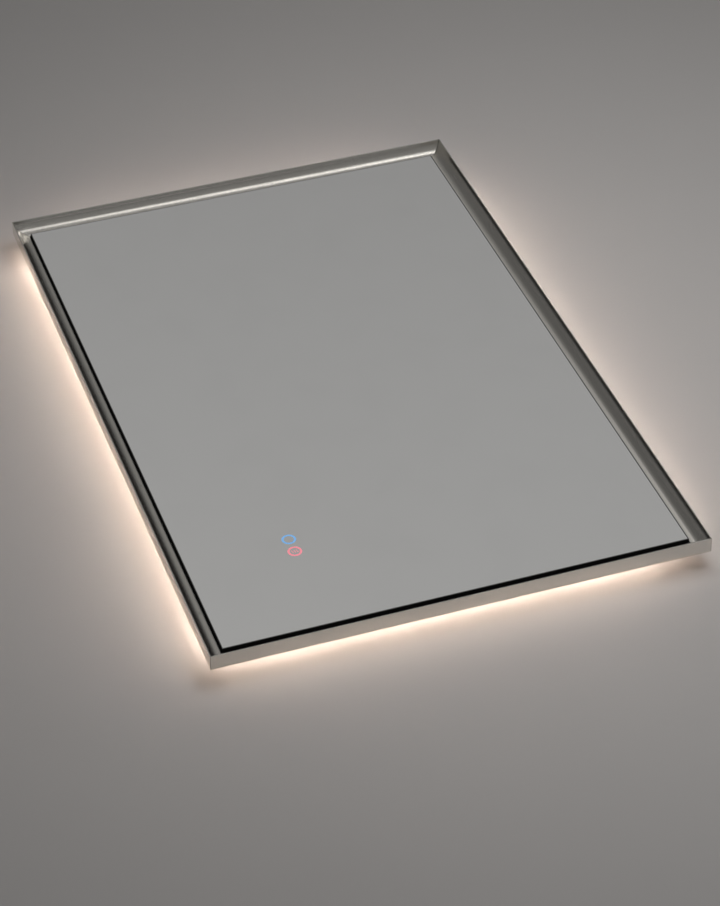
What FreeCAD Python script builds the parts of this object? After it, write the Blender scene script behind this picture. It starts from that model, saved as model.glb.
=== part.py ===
import FreeCAD, Part
import math
import os
import re
import Sketcher

# Lighted bathroom mirror. Millimetres. X runs across, Z up, and the wall is the plane Y = 0 with the
# mirror in front of it on the -Y side. The origin is the middle of the two wall screws, on the wall.
# "out" below is the distance from the wall towards the room, so a point at out = 10 has Y = -10.

# ---------------------------------------------------------------- sizes that can be set, in millimetres

# the frame and where it hangs
frame_wide = 600             # frame, overall width
frame_high = 900             # frame, overall height
rim_out = 40                 # front rim of the frame, out from the wall
screw_drop = 150             # wall screws, below the frame's top edge

# the section of the frame, depths counted back from the rim
skin = 1.2                   # outer wall and rim of the extrusion
cove_across = 16.8           # cove, from the rim to its lip
cove_deep = 15.3             # cove, depth at its lip
cove_radius = 16.1           # cove, radius
web = 1.3                    # wall behind the cove
frame_deep = 19.1            # outer wall, rim to back edge
back_skin = 1.5              # back wall of the key chamber
key_room = 7.3               # key chamber, width
ledge_reach = 6              # ledge under the glass, beyond the lip
ledge_thick = 1.5            # ledge, thickness
mitre_over = 1               # mitre cut, beyond the ledge

# the glass and what lies round and behind it
glass_thick = 5              # glass
glass_gap = 2                # open gap from the lip to the glass
arris = 0.6                  # ground arris on the glass's front edges
gasket_foot = 0.6            # gasket, under the glass
gasket_leg = 0.7             # gasket, up the glass's edge
gasket_shy = 0.5             # gasket, below the glass's front
film_thick = 0.3             # safety film on the silver
film_clear = 0.5             # film, clear of the gasket
tape_wide = 14               # foam tape, width
pad_wide = 260               # demister film, width
pad_high = 360               # demister film, height
pad_thick = 0.4              # demister film, thickness

# the touch marks
touch_left = 146.6           # touch marks, in from the frame's left edge
touch_low = 150.5            # lower touch mark, up from the frame's lower edge
touch_pitch = 22.4           # between the two touch marks
ring_outer = 8.5             # lit ring, outer radius
ring_inner = 5.9             # lit ring, inner radius
wave_pitch = 2.8             # between the waves of the demister mark
wave_wide = 0.9              # wave stroke, width
wave_high = 2.6              # half a wave, height
wave_radius = 1.9            # wave, bend radius
ring_shy = 0.6               # light guide behind a ring, inside the ring
inlay_deep = 0.3             # lit marks, depth into the glass's front
touch_case_wide = 34         # touch switch case, width
touch_case_high = 20         # touch switch case, height
touch_case_deep = 6          # touch switch case, depth
touch_case_wall = 1.2        # touch switch case, wall
touch_board_thick = 1.6      # touch switch board
touch_window = 9.2           # window in the film over a mark, radius

# the tray
sheet_thick = 1              # folded sheet of the tray
tray_inset = 60              # tray box, in from the frame's outer face
tray_out = 8                 # tray's back, out from the wall
tray_corner = 3              # tray box, corner radius
flange_clear = 0.8           # tray flange, clear of the key chamber
screw_radius = 1.5           # tray screws and key screws, radius
screw_bite = 2.1             # tray screws, into the frame
screw_head = 3               # tray screw head, radius
screw_head_high = 1.7        # tray screw head, height
recess_wide = 0.8            # cross recess, width of a slot
recess_deep = 0.9            # screw recess, depth
slot_long = 2.1              # key screw slot, length
recess_long = 3.2            # cross recess, length of a slot
screw_inset = 13.2           # tray screws, in from the frame's outer face
screw_step_up = 240          # tray screws up the sides, pitch
screw_step_across = 180      # tray screws along the ends, pitch
fit_gap = 0.05               # radial clearance of a shank in its hole

# corner keys
key_leg = 42                 # corner key, leg length from the frame's corner
key_play = 0.2               # corner key, clearance in its chamber
key_thick = 3                # corner key, thickness
key_screw_far = 30           # key screw, from the frame's corner

# light strips round the tray box
channel_deep = 8             # light channel, depth
channel_high = 10            # light channel, height
channel_wall = 1             # light channel, wall
channel_short = 4            # light channel, short of the tray's corners
strip_thick = 1              # light strip board
strip_gap = 0.4              # light strip board, clear of the channel's walls
chip_size = 3                # light chip, side
chip_thick = 1               # light chip, thickness
chip_pitch = 40              # light chips, pitch
diffuser_thick = 1           # diffuser, thickness at its edges
diffuser_bulge = 16          # diffuser, radius of its outer face

# what stands on the tray's floor; places are across and up from the middle of the frame
service_up = 230             # row of driver and terminal box, above the middle
driver_across = 55           # driver, middle
driver_long = 170            # driver, length
driver_high = 40             # driver, width
driver_deep = 9              # driver case, depth
driver_cover_deep = 3        # driver cover, depth
driver_wall = 1.5            # driver case, wall
driver_ear = 9               # driver case, fixing ear beyond each end
ear_thick = 1.5              # fixing ear, thickness
ear_high = 14                # fixing ear, width
ear_low = 11                 # fixing ears, below the driver's middle
driver_board_thick = 1.6     # driver board
driver_part_high = 3.5       # parts on the driver board
terminal_across = -98        # terminal box, middle
terminal_long = 60           # terminal box, length
terminal_high = 44           # terminal box, width
terminal_deep = 9            # terminal box, depth of the base
terminal_wall = 1.5          # terminal box, wall
lid_thick = 2                # terminal box lid
block_long = 30              # terminal block, length
block_high = 16              # terminal block, width
block_deep = 6               # terminal block, depth
block_bore = 1.5             # terminal block, wire hole radius
lid_post = 3                 # lid screw post, radius
lid_screw_in = 3.6           # lid screws, in from the box's outer faces
lid_screw = 1                # lid screw, radius
lid_screw_head = 2           # lid screw head, radius
lid_screw_long = 5           # lid screw, length below the lid
splitter_across = 188        # splitter, middle
splitter_long = 40           # splitter, length
splitter_high = 24           # splitter, width
splitter_deep = 12           # splitter, depth
splitter_corner = 2          # splitter, corner radius
grommet_across = -160        # cable grommet, middle
grommet_bore = 4.5           # cable grommet, bore radius
grommet_neck = 6.5           # cable grommet, neck radius
grommet_lip = 9              # cable grommet, lip radius
grommet_lip_thick = 2        # cable grommet, each lip
earth_below = 18             # earth stud, below the terminal box
stud_radius = 2              # earth stud, radius
stud_long = 8                # earth stud, length
nut_across = 7               # earth nut, across flats
nut_high = 2.1               # earth nut, height
tag_radius = 5.4             # earth lead's tag, radius
tag_thick = 1.6              # earth lead's tag, thickness
tag_lap = 0.5                # earth lead's end, beyond the nut's corners

# wiring
lead_radius = 1.2            # leads, radius
lead_bend = 14               # leads, bend radius at the middle
low_lead_out = 12.5          # light leads, out from the wall
touch_lead_out = 19.7        # touch leads, out from the wall
pad_lead_radius = 1          # demister lead, radius
pad_lead_across = -60        # demister lead, where it leaves the film
pad_lead_low = 6.5           # demister lead, below the middle of its switch
contact_wide = 14            # demister contact, width
contact_high = 10            # demister contact, height
contact_deep = 3             # demister contact, depth
contact_corner = 2           # demister contact, corner radius
left_lead_below = 10         # left strip's lead, below the earth stud
left_lead_across = 176       # left strip's lead, where it leaves the splitter
upright_lead_across = 186    # top and bottom strips' leads
light_touch_across = 180     # light switch's lead, its upright run
demister_touch_across = 190  # demister switch's lead, its upright run
clip_wall = 2                # lead clips, wall round a lead
clip_wide = 8                # lead clips, width along a lead
clip_pitch = 150             # lead clips, pitch along a lead

# hanging
rail_thick = 1.5             # rail and hook, sheet thickness
fold_inside = 0.8            # rail and hook, inside radius of the folds
rail_long = 340              # wall rail, length
rail_leaf = 15               # wall rail's leaf, above and below its screws
rail_slot = 3.5              # slot between the wall and the rail's lip
rail_lip = 15                # rail's lip, height above the leaf
wall_screw_pitch = 300       # wall screws, pitch
wall_screw_radius = 2.75     # wall screw holes, radius
hook_long = 320              # hook rail, length
hook_leg = 12                # hook's leg, below its web
hook_play = 0.3              # hook's leg, clear of the rail's lip
hook_leaf = 26               # hook rail's leaf, height on the tray
rivet_radius = 2             # rivets, radius
rivet_head = 3.5             # rivets, head radius
rivet_head_high = 1.2        # rivets, head height
rivet_bulb = 2.9             # rivets, formed end's radius
rivet_pitch = 90             # rivets, pitch
bumper_radius = 8            # bumpers, radius
bumper_round = 1.5           # bumpers, rounding at the wall
bumper_in = 30               # bumpers, in from the tray box's corner

own_sizes = {name: amount for name, amount in globals().items() if isinstance(amount, (int, float))}

doc = FreeCAD.newDocument("lighted_bathroom_mirror")
sheet = doc.addObject("Spreadsheet::Sheet", "Sizes")
aliases = []
leads = []


# ---------------------------------------------------------------- sizes in the sheet

def size(alias, amount, note):
    """One row of the sheet: a plain number, or a formula that starts with =."""
    aliases.append(alias)
    row = len(aliases)
    sheet.set(f"A{row}", note)
    sheet.set(f"B{row}", str(amount))
    sheet.setAlias(f"B{row}", alias)


for name, amount in own_sizes.items():
    size(name, amount, name.replace("_", " "))

# sizes that follow from them
size("half_wide", "=frame_wide / 2", "half the width")
size("half_high", "=frame_high / 2", "half the height")
size("middle_up", "=screw_drop - frame_high / 2", "middle of the frame, above the wall screws")
size("lip_in", "=skin + cove_across", "lip, in from the outer face")
size("ledge_front", "=cove_deep + gasket_foot", "ledge's face, back from the rim")
size("ledge_back", "=ledge_front + ledge_thick", "ledge's back, back from the rim")
size("ledge_end", "=lip_in + ledge_reach", "ledge's edge, in from the outer face")
size("chamber_back", "=frame_deep - back_skin", "key chamber's back, back from the rim")
size("glass_inset", "=lip_in + glass_gap", "glass edge, in from the outer face")
size("glass_back", "=rim_out - cove_deep", "glass's back, out from the wall")
size("glass_front", "=glass_back + glass_thick", "glass's front, out from the wall")
size("film_back", "=glass_back - film_thick", "film's back, out from the wall")
size("film_inset", "=ledge_end + film_clear", "film edge, in from the outer face")
size("flange_front", "=rim_out - ledge_back", "tray flange's front, out from the wall")
size("flange_back", "=flange_front - sheet_thick", "tray flange's back, out from the wall")
size("flange_inset", "=skin * 2 + key_room + flange_clear", "tray flange's edge, in from the outer face")
size("floor_out", "=tray_out + sheet_thick", "tray's floor, out from the wall")
size("box_half_wide", "=half_wide - tray_inset", "tray box, half its width")
size("box_half_high", "=half_high - tray_inset", "tray box, half its height")
size("box_middle", "=(tray_out + flange_back) / 2", "middle of the tray's sides, out from the wall")
size("channel_low", "=box_middle - channel_high / 2", "light channel's wall side, out from the wall")
size("channel_top", "=box_middle + channel_high / 2", "light channel's room side, out from the wall")
size("touch_across", "=touch_left - half_wide", "touch marks, across from the middle")
size("demister_up", "=touch_low - half_high", "demister mark, above the middle")
size("light_up", "=demister_up + touch_pitch", "light mark, above the middle")
size("pad_lead_up", "=demister_up - pad_lead_low", "demister lead, where it meets its switch")
size("touch_case_out", "=film_back - touch_case_deep", "touch case's back, out from the wall")
size("touch_case_right", "=touch_across + touch_case_wide / 2", "touch case's right side")
size("driver_left", "=driver_across - driver_long / 2", "driver's left end")
size("driver_right", "=driver_across + driver_long / 2", "driver's right end")
size("terminal_right", "=terminal_across + terminal_long / 2", "terminal box's right end")
size("terminal_foot", "=service_up - terminal_high / 2", "terminal box's lower side")
size("earth_up", "=terminal_foot - earth_below", "earth stud, above the middle")
size("left_lead_up", "=earth_up - left_lead_below", "left strip's lead, above the middle")
size("splitter_left", "=splitter_across - splitter_long / 2", "splitter's left side")
size("splitter_foot", "=service_up - splitter_high / 2", "splitter's lower side")
size("splitter_head", "=service_up + splitter_high / 2", "splitter's upper side")
size("board_half_wide", "=box_half_wide + channel_wall", "left and right light boards' backs")
size("board_half_high", "=box_half_high + channel_wall", "top and bottom light boards' backs")
size("hook_up", "=rail_leaf + rail_lip", "hook's web, above the wall screws")
size("hook_back", "=rail_slot - hook_play - rail_thick", "hook leg's wall side, out from the wall")
size("contact_foot", "=-pad_high / 2", "demister contact's lower side")
size("rivet_up", "=hook_up + hook_leaf / 2 + rail_thick / 2 - middle_up", "rivets, above the middle")
size("top_clip_up", "=(splitter_head + board_half_high) / 2", "clip on the top strip's lead")
doc.recompute()

ALIAS = re.compile(r"\b(" + "|".join(sorted(aliases, key=len, reverse=True)) + r")\b")


def full(formula):
    """A formula over the sizes, as an object of the document reads it."""
    return ALIAS.sub(r"Sizes.\1", str(formula))


def now(formula):
    """What a formula over the sizes comes to."""
    return float(sheet.evalExpression(full(formula)))


def bind(thing, property_path, formula):
    thing.setExpression(property_path, full(formula))


# ---------------------------------------------------------------- ways of making things

def body(name, across="0", out="0", up="middle_up", turn=0):
    """A sub-part with a place of its own, turned about the axis that points at the wall."""
    piece = doc.addObject("PartDesign::Body", name)
    piece.Label = name
    spin = FreeCAD.Rotation(FreeCAD.Vector(0, 1, 0), turn)
    piece.Placement = FreeCAD.Placement(FreeCAD.Vector(), spin)
    bind(piece, "Placement.Base.x", across)
    bind(piece, "Placement.Base.y", f"-1 * ({out})")
    bind(piece, "Placement.Base.z", up)
    return piece


def plane_of(piece, role):
    return next(f for f in piece.Origin.OriginFeatures if f.Role == role)


def sketch(piece, name, plane="XZ_Plane", at="0"):
    """A sketch on one of the piece's own planes, moved along that plane's normal.

    XZ_Plane faces the room, so there "at" is a distance out from the piece's back.
    """
    drawing = piece.newObject("Sketcher::SketchObject", f"{piece.Name}_{name}")
    drawing.AttachmentSupport = [(plane_of(piece, plane), "")]
    drawing.MapMode = "FlatFace"
    bind(drawing, "AttachmentOffset.Base.z", at)
    return drawing


def hold(drawing, kind, *where):
    """A constraint whose last entry is a formula."""
    formula = where[-1]
    number = drawing.addConstraint(Sketcher.Constraint(kind, *where[:-1], now(formula)))
    bind(drawing, f"Constraints[{number}]", formula)


def arc_between(start, end, radius):
    """The short arc from start to end. A positive radius bends left, a negative one right."""
    chord = end - start
    left = FreeCAD.Vector(-chord.y, chord.x, 0).normalize()
    reach = (radius ** 2 - (chord.Length / 2) ** 2) ** 0.5
    side = 1 if radius > 0 else -1
    centre = start + chord * 0.5 + left * reach * side
    upward = FreeCAD.Vector(0, 0, 1)
    first, last = (start, end) if radius > 0 else (end, start)
    from_angle = math.atan2(first.y - centre.y, first.x - centre.x)
    to_angle = math.atan2(last.y - centre.y, last.x - centre.x)
    if to_angle < from_angle:
        to_angle += 2 * math.pi
    return Part.ArcOfCircle(Part.Circle(centre, upward, abs(radius)), from_angle, to_angle)


def outline(drawing, corners):
    """A closed outline through (across, up) corners. A third entry bends the side that leaves a corner."""
    places = [FreeCAD.Vector(now(c[0]), now(c[1]), 0) for c in corners]
    sides = []
    for number, corner in enumerate(corners):
        start = places[number]
        end = places[(number + 1) % len(places)]
        if len(corner) == 2:
            side = drawing.addGeometry(Part.LineSegment(start, end), False)
            sides.append((side, 1, 2))
            continue
        radius = now(corner[2])
        side = drawing.addGeometry(arc_between(start, end, radius), False)
        sides.append((side, 1, 2) if radius > 0 else (side, 2, 1))
    for number, (side, first, last) in enumerate(sides):
        following = sides[(number + 1) % len(sides)]
        drawing.addConstraint(Sketcher.Constraint("Coincident", side, last, following[0], following[1]))
        hold(drawing, "DistanceX", -1, 1, side, first, corners[number][0])
        hold(drawing, "DistanceY", -1, 1, side, first, corners[number][1])
        if len(corners[number]) == 3:
            hold(drawing, "Radius", side, f"abs({corners[number][2]})")


def rectangle(drawing, left, right, low, high):
    outline(drawing, [(left, low), (right, low), (right, high), (left, high)])


def rounded(drawing, left, right, low, high, radius):
    """A rectangle with quarter rounds at its corners."""
    outline(drawing, [
        (f"{left} + {radius}", low),
        (f"{right} - {radius}", low, radius),
        (right, f"{low} + {radius}"),
        (right, f"{high} - {radius}", radius),
        (f"{right} - {radius}", high),
        (f"{left} + {radius}", high, radius),
        (left, f"{high} - {radius}"),
        (left, f"{low} + {radius}", radius),
    ])


def circle(drawing, across, up, radius):
    where = FreeCAD.Vector(now(across), now(up), 0)
    ring = drawing.addGeometry(Part.Circle(where, FreeCAD.Vector(0, 0, 1), now(radius)), False)
    hold(drawing, "Radius", ring, radius)
    hold(drawing, "DistanceX", -1, 1, ring, 3, across)
    hold(drawing, "DistanceY", -1, 1, ring, 3, up)


def pad(piece, drawing, length, both_ways=False):
    feature = piece.newObject("PartDesign::Pad", f"{drawing.Name}_pad")
    feature.Profile = drawing
    feature.Midplane = both_ways
    bind(feature, "Length", length)
    return feature


def pocket(piece, drawing, length, along_normal=False, both_ways=False):
    """Cuts back from the sketch, against its plane's normal unless told otherwise."""
    feature = piece.newObject("PartDesign::Pocket", f"{drawing.Name}_cut")
    feature.Profile = drawing
    feature.Midplane = both_ways
    feature.Reversed = along_normal
    bind(feature, "Length", length)
    return feature


def repeat(piece, features, direction, pitch, count):
    """Copies of features in a row along one of the piece's own axes."""
    row = piece.newObject("PartDesign::LinearPattern", f"{features[0].Name}_row")
    row.Originals = features
    row.Direction = (plane_of(piece, direction), [""])
    row.Mode = "Spacing"
    bind(row, "Offset", pitch)
    bind(row, "Occurrences", count)
    piece.Tip = row


def edges_where(piece, test):
    """Names of the edges whose two ends pass a test, in the piece's own frame."""
    doc.recompute()
    shape = piece.Tip.Shape
    chosen = []
    for number, edge in enumerate(shape.Edges, 1):
        if all(test(corner.Point) for corner in edge.Vertexes):
            chosen.append(f"Edge{number}")
    return chosen


def ease(piece, kind, edges, amount):
    """A Fillet or Chamfer on chosen edges of the piece as it stands."""
    base = piece.Tip
    feature = piece.newObject(f"PartDesign::{kind}", f"{piece.Name}_{kind.lower()}")
    feature.Base = (base, edges)
    bind(feature, "Radius" if kind == "Fillet" else "Size", amount)
    return feature


# The four sides of the frame: name, turn about the wall's normal, half the height across that side, half
# its length. Each side is drawn as the left one, standing upright, and turned into its place.
SIDES = [
    ("left", 0, "half_wide", "half_high"),
    ("top", 90, "half_high", "half_wide"),
    ("right", 180, "half_wide", "half_high"),
    ("bottom", 270, "half_high", "half_wide"),
]
CORNERS = [(-1, -1), (-1, 1), (1, 1), (1, -1)]


def tray_screw_places():
    """Where the tray is screwed to the frame: four up each side and three along each end."""
    for across in ("screw_inset - half_wide", "half_wide - screw_inset"):
        for step in (-1.5, -0.5, 0.5, 1.5):
            yield across, f"screw_step_up * {step}"
    for up in ("screw_inset - half_high", "half_high - screw_inset"):
        for step in (-1, 0, 1):
            yield f"screw_step_across * {step}", up


def cross(drawing, across, up):
    """The outline of a cross recess."""
    a = "recess_wide / 2"
    b = "recess_long / 2"
    steps = [("-", b, "-", a), ("-", a, "-", a), ("-", a, "-", b), ("", a, "-", b), ("", a, "-", a), ("", b, "-", a),
             ("", b, "", a), ("", a, "", a), ("", a, "", b), ("-", a, "", b), ("-", a, "", a), ("-", b, "", a)]
    outline(drawing, [(f"{across} + {sx}1 * {dx}", f"{up} + {sz}1 * {dz}") for sx, dx, sz, dz in steps])


# ---------------------------------------------------------------- frame

def frame_bar(name, turn, half_across, half_long, screw_steps):
    """A mitred extrusion: rim, hollow cove, ledge for the glass and a closed chamber for the corner keys."""
    bar = body(f"frame_{name}", turn=turn)
    section = sketch(bar, "section", "XY_Plane")

    def place(inward, back):
        return f"{inward} - {half_across}", f"{back} - rim_out"

    outline(section, [
        place("0", "0"),
        place("0", "frame_deep"),
        place("2 * skin + key_room", "frame_deep"),
        place("2 * skin + key_room", "ledge_back"),
        place("ledge_end", "ledge_back"),
        place("ledge_end", "ledge_front"),
        place("lip_in", "ledge_front"),
        place("lip_in", "cove_deep") + ("cove_radius",),
        place("skin", "0"),
    ])
    cove = 7
    first = section.GeometryCount
    centre = section.Geometry[cove].Center
    behind = now("cove_radius + web")
    left = now(f"skin - {half_across}")
    right = now(f"skin + key_room - {half_across}")
    back = now("chamber_back - rim_out")
    upper = FreeCAD.Vector(left, centre.y + (behind ** 2 - (left - centre.x) ** 2) ** 0.5, 0)
    lower = FreeCAD.Vector(right, centre.y + (behind ** 2 - (right - centre.x) ** 2) ** 0.5, 0)
    section.addGeometry(arc_between(lower, upper, behind), False)
    section.addGeometry(Part.LineSegment(upper, FreeCAD.Vector(left, back, 0)), False)
    section.addGeometry(Part.LineSegment(FreeCAD.Vector(left, back, 0), FreeCAD.Vector(right, back, 0)), False)
    section.addGeometry(Part.LineSegment(FreeCAD.Vector(right, back, 0), lower), False)
    section.addConstraint([
        Sketcher.Constraint("Coincident", first, 3, cove, 3),
        Sketcher.Constraint("Coincident", first, 2, first + 1, 1),
        Sketcher.Constraint("Coincident", first + 1, 2, first + 2, 1),
        Sketcher.Constraint("Coincident", first + 2, 2, first + 3, 1),
        Sketcher.Constraint("Coincident", first + 3, 2, first, 1),
        Sketcher.Constraint("Vertical", first + 1),
        Sketcher.Constraint("Vertical", first + 3),
        Sketcher.Constraint("Horizontal", first + 2),
    ])
    hold(section, "Radius", first, "cove_radius + web")
    hold(section, "DistanceX", -1, 1, first + 2, 1, f"skin - {half_across}")
    hold(section, "DistanceX", -1, 1, first + 2, 2, f"skin + key_room - {half_across}")
    hold(section, "DistanceY", -1, 1, first + 2, 1, "chamber_back - rim_out")
    pad(bar, section, f"2 * {half_long}", both_ways=True)

    mitres = sketch(bar, "mitres", at="rim_out")
    for end in (1, -1):
        outline(mitres, [
            (f"-1 * {half_across}", f"{end} * {half_long}"),
            (f"ledge_end + mitre_over - {half_across}", f"{end} * {half_long}"),
            (f"ledge_end + mitre_over - {half_across}", f"{end} * ({half_long} - ledge_end - mitre_over)"),
        ])
    pocket(bar, mitres, "frame_deep")

    tray_holes = sketch(bar, "tray_holes", at="flange_front")
    for step in screw_steps:
        pitch = "screw_step_up" if len(screw_steps) == 4 else "screw_step_across"
        circle(tray_holes, f"screw_inset - {half_across}", f"{pitch} * {step}", "screw_radius + fit_gap")
    pocket(bar, tray_holes, "screw_bite", along_normal=True)

    key_holes = sketch(bar, "key_holes", at="rim_out - frame_deep")
    for end in (1, -1):
        circle(key_holes, f"skin + key_room / 2 - {half_across}", f"{end} * ({half_long} - key_screw_far)",
               "screw_radius + fit_gap")
    pocket(bar, key_holes, "back_skin", along_normal=True)


for side_name, side_turn, across_half, long_half in SIDES:
    steps = (-1.5, -0.5, 0.5, 1.5) if long_half == "half_high" else (-1, 0, 1)
    frame_bar(side_name, side_turn, across_half, long_half, steps)


def corner_keys():
    """Four L-shaped keys that lie in the chambers across the mitres."""
    keys = body("corner_keys")
    plan = sketch(keys, "plan", at="rim_out - chamber_back + key_play")
    inner = "skin + key_room - key_play"
    outer = "skin + key_play"
    for sx, sz in CORNERS:
        corner = [
            (outer, outer), (outer, "key_leg"), (inner, "key_leg"),
            (inner, inner), ("key_leg", inner), ("key_leg", outer),
        ]
        outline(plan, [(f"{sx} * (half_wide - ({x}))", f"{sz} * (half_high - ({z}))") for x, z in corner])
    pad(keys, plan, "key_thick")


def corner_key_screws():
    """Grub screws that pass through the chamber's back wall and press on the keys."""
    screws = body("corner_key_screws")
    shanks = sketch(screws, "shanks", at="rim_out - frame_deep")
    slots = sketch(screws, "slots", at="rim_out - frame_deep")
    lane = "skin + key_room / 2"
    for sx, sz in CORNERS:
        for x, z in ((lane, "key_screw_far"), ("key_screw_far", lane)):
            across = f"{sx} * (half_wide - ({x}))"
            up = f"{sz} * (half_high - ({z}))"
            circle(shanks, across, up, "screw_radius")
            rectangle(slots, f"{across} - slot_long / 2", f"{across} + slot_long / 2",
                      f"{up} - recess_wide / 4", f"{up} + recess_wide / 4")
    pad(screws, shanks, "back_skin + key_play")
    pocket(screws, slots, "recess_wide", along_normal=True)


corner_keys()
corner_key_screws()


# ---------------------------------------------------------------- glass and what is stuck to it

def centred(drawing, inset):
    """A rectangle set in from the frame's outer faces."""
    rectangle(drawing, f"{inset} - half_wide", f"half_wide - {inset}", f"{inset} - half_high", f"half_high - {inset}")


def light_mark(drawing):
    circle(drawing, "touch_across", "light_up", "ring_outer")
    circle(drawing, "touch_across", "light_up", "ring_inner")


def demister_mark(drawing):
    """A ring with three rising waves in it."""
    circle(drawing, "touch_across", "demister_up", "ring_outer")
    circle(drawing, "touch_across", "demister_up", "ring_inner")
    for step in (-1, 0, 1):
        left = f"touch_across + {step} * wave_pitch - wave_wide / 2"
        right = f"touch_across + {step} * wave_pitch + wave_wide / 2"
        outline(drawing, [
            (left, "demister_up - wave_high"),
            (right, "demister_up - wave_high", "wave_radius"),
            (right, "demister_up", "-1 * wave_radius"),
            (right, "demister_up + wave_high"),
            (left, "demister_up + wave_high", "wave_radius"),
            (left, "demister_up", "-1 * wave_radius"),
        ])


def mirror_glass():
    glass = body("mirror_glass")
    plate = sketch(glass, "plate", at="glass_back")
    centred(plate, "glass_inset")
    pad(glass, plate, "glass_thick")
    front = -now("glass_front")
    edges = edges_where(glass, lambda point: abs(point.y - front) < 1e-6)
    ease(glass, "Chamfer", edges, "arris")
    for name, mark in (("light", light_mark), ("demister", demister_mark)):
        groove = sketch(glass, f"{name}_groove", at="glass_front")
        mark(groove)
        pocket(glass, groove, "inlay_deep")


def symbol(name, mark):
    """A lit mark, flush with the glass's front."""
    inlay = body(name)
    shape = sketch(inlay, "shape", at="glass_front - inlay_deep")
    mark(shape)
    pad(inlay, shape, "inlay_deep")


def backing_film():
    """Safety film over the silver, with a window behind each touch mark."""
    film = body("backing_film")
    area = sketch(film, "area", at="film_back")
    centred(area, "film_inset")
    pad(film, area, "film_thick")
    windows = sketch(film, "windows", at="glass_back")
    circle(windows, "touch_across", "light_up", "touch_window")
    circle(windows, "touch_across", "demister_up", "touch_window")
    pocket(film, windows, "film_thick")


def edge_gasket():
    """A black angle round the glass: its foot lies on the ledge and its leg stands up the edge."""
    gasket = body("edge_gasket")
    foot = sketch(gasket, "foot", at="rim_out - ledge_front")
    centred(foot, "lip_in")
    centred(foot, "ledge_end")
    pad(gasket, foot, "gasket_foot")
    leg = sketch(gasket, "leg", at="rim_out - ledge_front")
    centred(leg, "(glass_inset - gasket_leg)")
    centred(leg, "glass_inset")
    pad(gasket, leg, "gasket_foot + glass_thick - gasket_shy")


def bond_tape():
    """Foam tape between the tray's flange and the film, on all four sides."""
    tape = body("bond_tape")
    strips = sketch(tape, "strips", at="flange_front")
    near = "tray_inset - 2 * tape_wide"
    far = "tray_inset - tape_wide"
    for s in (-1, 1):
        rectangle(strips, f"{s} * (half_wide - ({near}))", f"{s} * (half_wide - ({far}))",
                  "tray_inset - half_high", "half_high - tray_inset")
        rectangle(strips, "tray_inset - half_wide", "half_wide - tray_inset",
                  f"{s} * (half_high - ({near}))", f"{s} * (half_high - ({far}))")
    pad(tape, strips, "film_back - flange_front")


def demister():
    """Heating film on the back of the glass and the block where its lead is soldered."""
    heater = body("demister_pad")
    area = sketch(heater, "area", at="film_back - pad_thick")
    rounded(area, "-1 * pad_wide / 2", "pad_wide / 2", "-1 * pad_high / 2", "pad_high / 2", "tape_wide")
    pad(heater, area, "pad_thick")
    contact = body("demister_contact", across="pad_lead_across", out="film_back - pad_thick - contact_deep",
                   up="middle_up + contact_foot")
    block = sketch(contact, "block")
    rounded(block, "-1 * contact_wide / 2", "contact_wide / 2", "0", "contact_high", "contact_corner")
    pad(contact, block, "contact_deep")


def touch_switch(name, up):
    """A sensor case behind the glass, open at the front, with its board in it."""
    case = body(f"touch_case_{name}", across="touch_across", out="touch_case_out", up=f"middle_up + {up}")
    half = "touch_case_wide / 2"
    tall = "touch_case_high / 2"
    block = sketch(case, "block")
    rounded(block, f"-1 * {half}", half, f"-1 * {tall}", tall, "touch_case_wall")
    pad(case, block, "touch_case_deep")
    hollow = sketch(case, "hollow", at="touch_case_deep")
    rectangle(hollow, f"touch_case_wall - {half}", f"{half} - touch_case_wall",
              f"touch_case_wall - {tall}", f"{tall} - touch_case_wall")
    pocket(case, hollow, "touch_case_deep - touch_case_wall")
    board = body(f"touch_board_{name}", across="touch_across", out="touch_case_out + touch_case_wall",
                 up=f"middle_up + {up}")
    sheet_of_board = sketch(board, "sheet")
    inner = "(touch_case_wall + key_play)"
    rectangle(sheet_of_board, f"{inner} - {half}", f"{half} - {inner}", f"{inner} - {tall}", f"{tall} - {inner}")
    pad(board, sheet_of_board, "touch_board_thick")
    ring = sketch(board, "ring", at="touch_board_thick")
    circle(ring, "0", "0", "ring_outer - ring_shy")
    circle(ring, "0", "0", "ring_inner")
    pad(board, ring, "touch_case_deep - touch_case_wall - touch_board_thick")


mirror_glass()
symbol("light_symbol", light_mark)
symbol("demister_symbol", demister_mark)
backing_film()
edge_gasket()
bond_tape()
demister()
touch_switch("light", "light_up")
touch_switch("demister", "demister_up")


# ---------------------------------------------------------------- tray

def rivet_places():
    for step in (-1.5, -0.5, 0.5, 1.5):
        yield f"rivet_pitch * {step}", "rivet_up"


def driver_ear_places():
    yield "driver_left - driver_ear / 2", "service_up - ear_low"
    yield "driver_right + driver_ear / 2", "service_up - ear_low"


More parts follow.
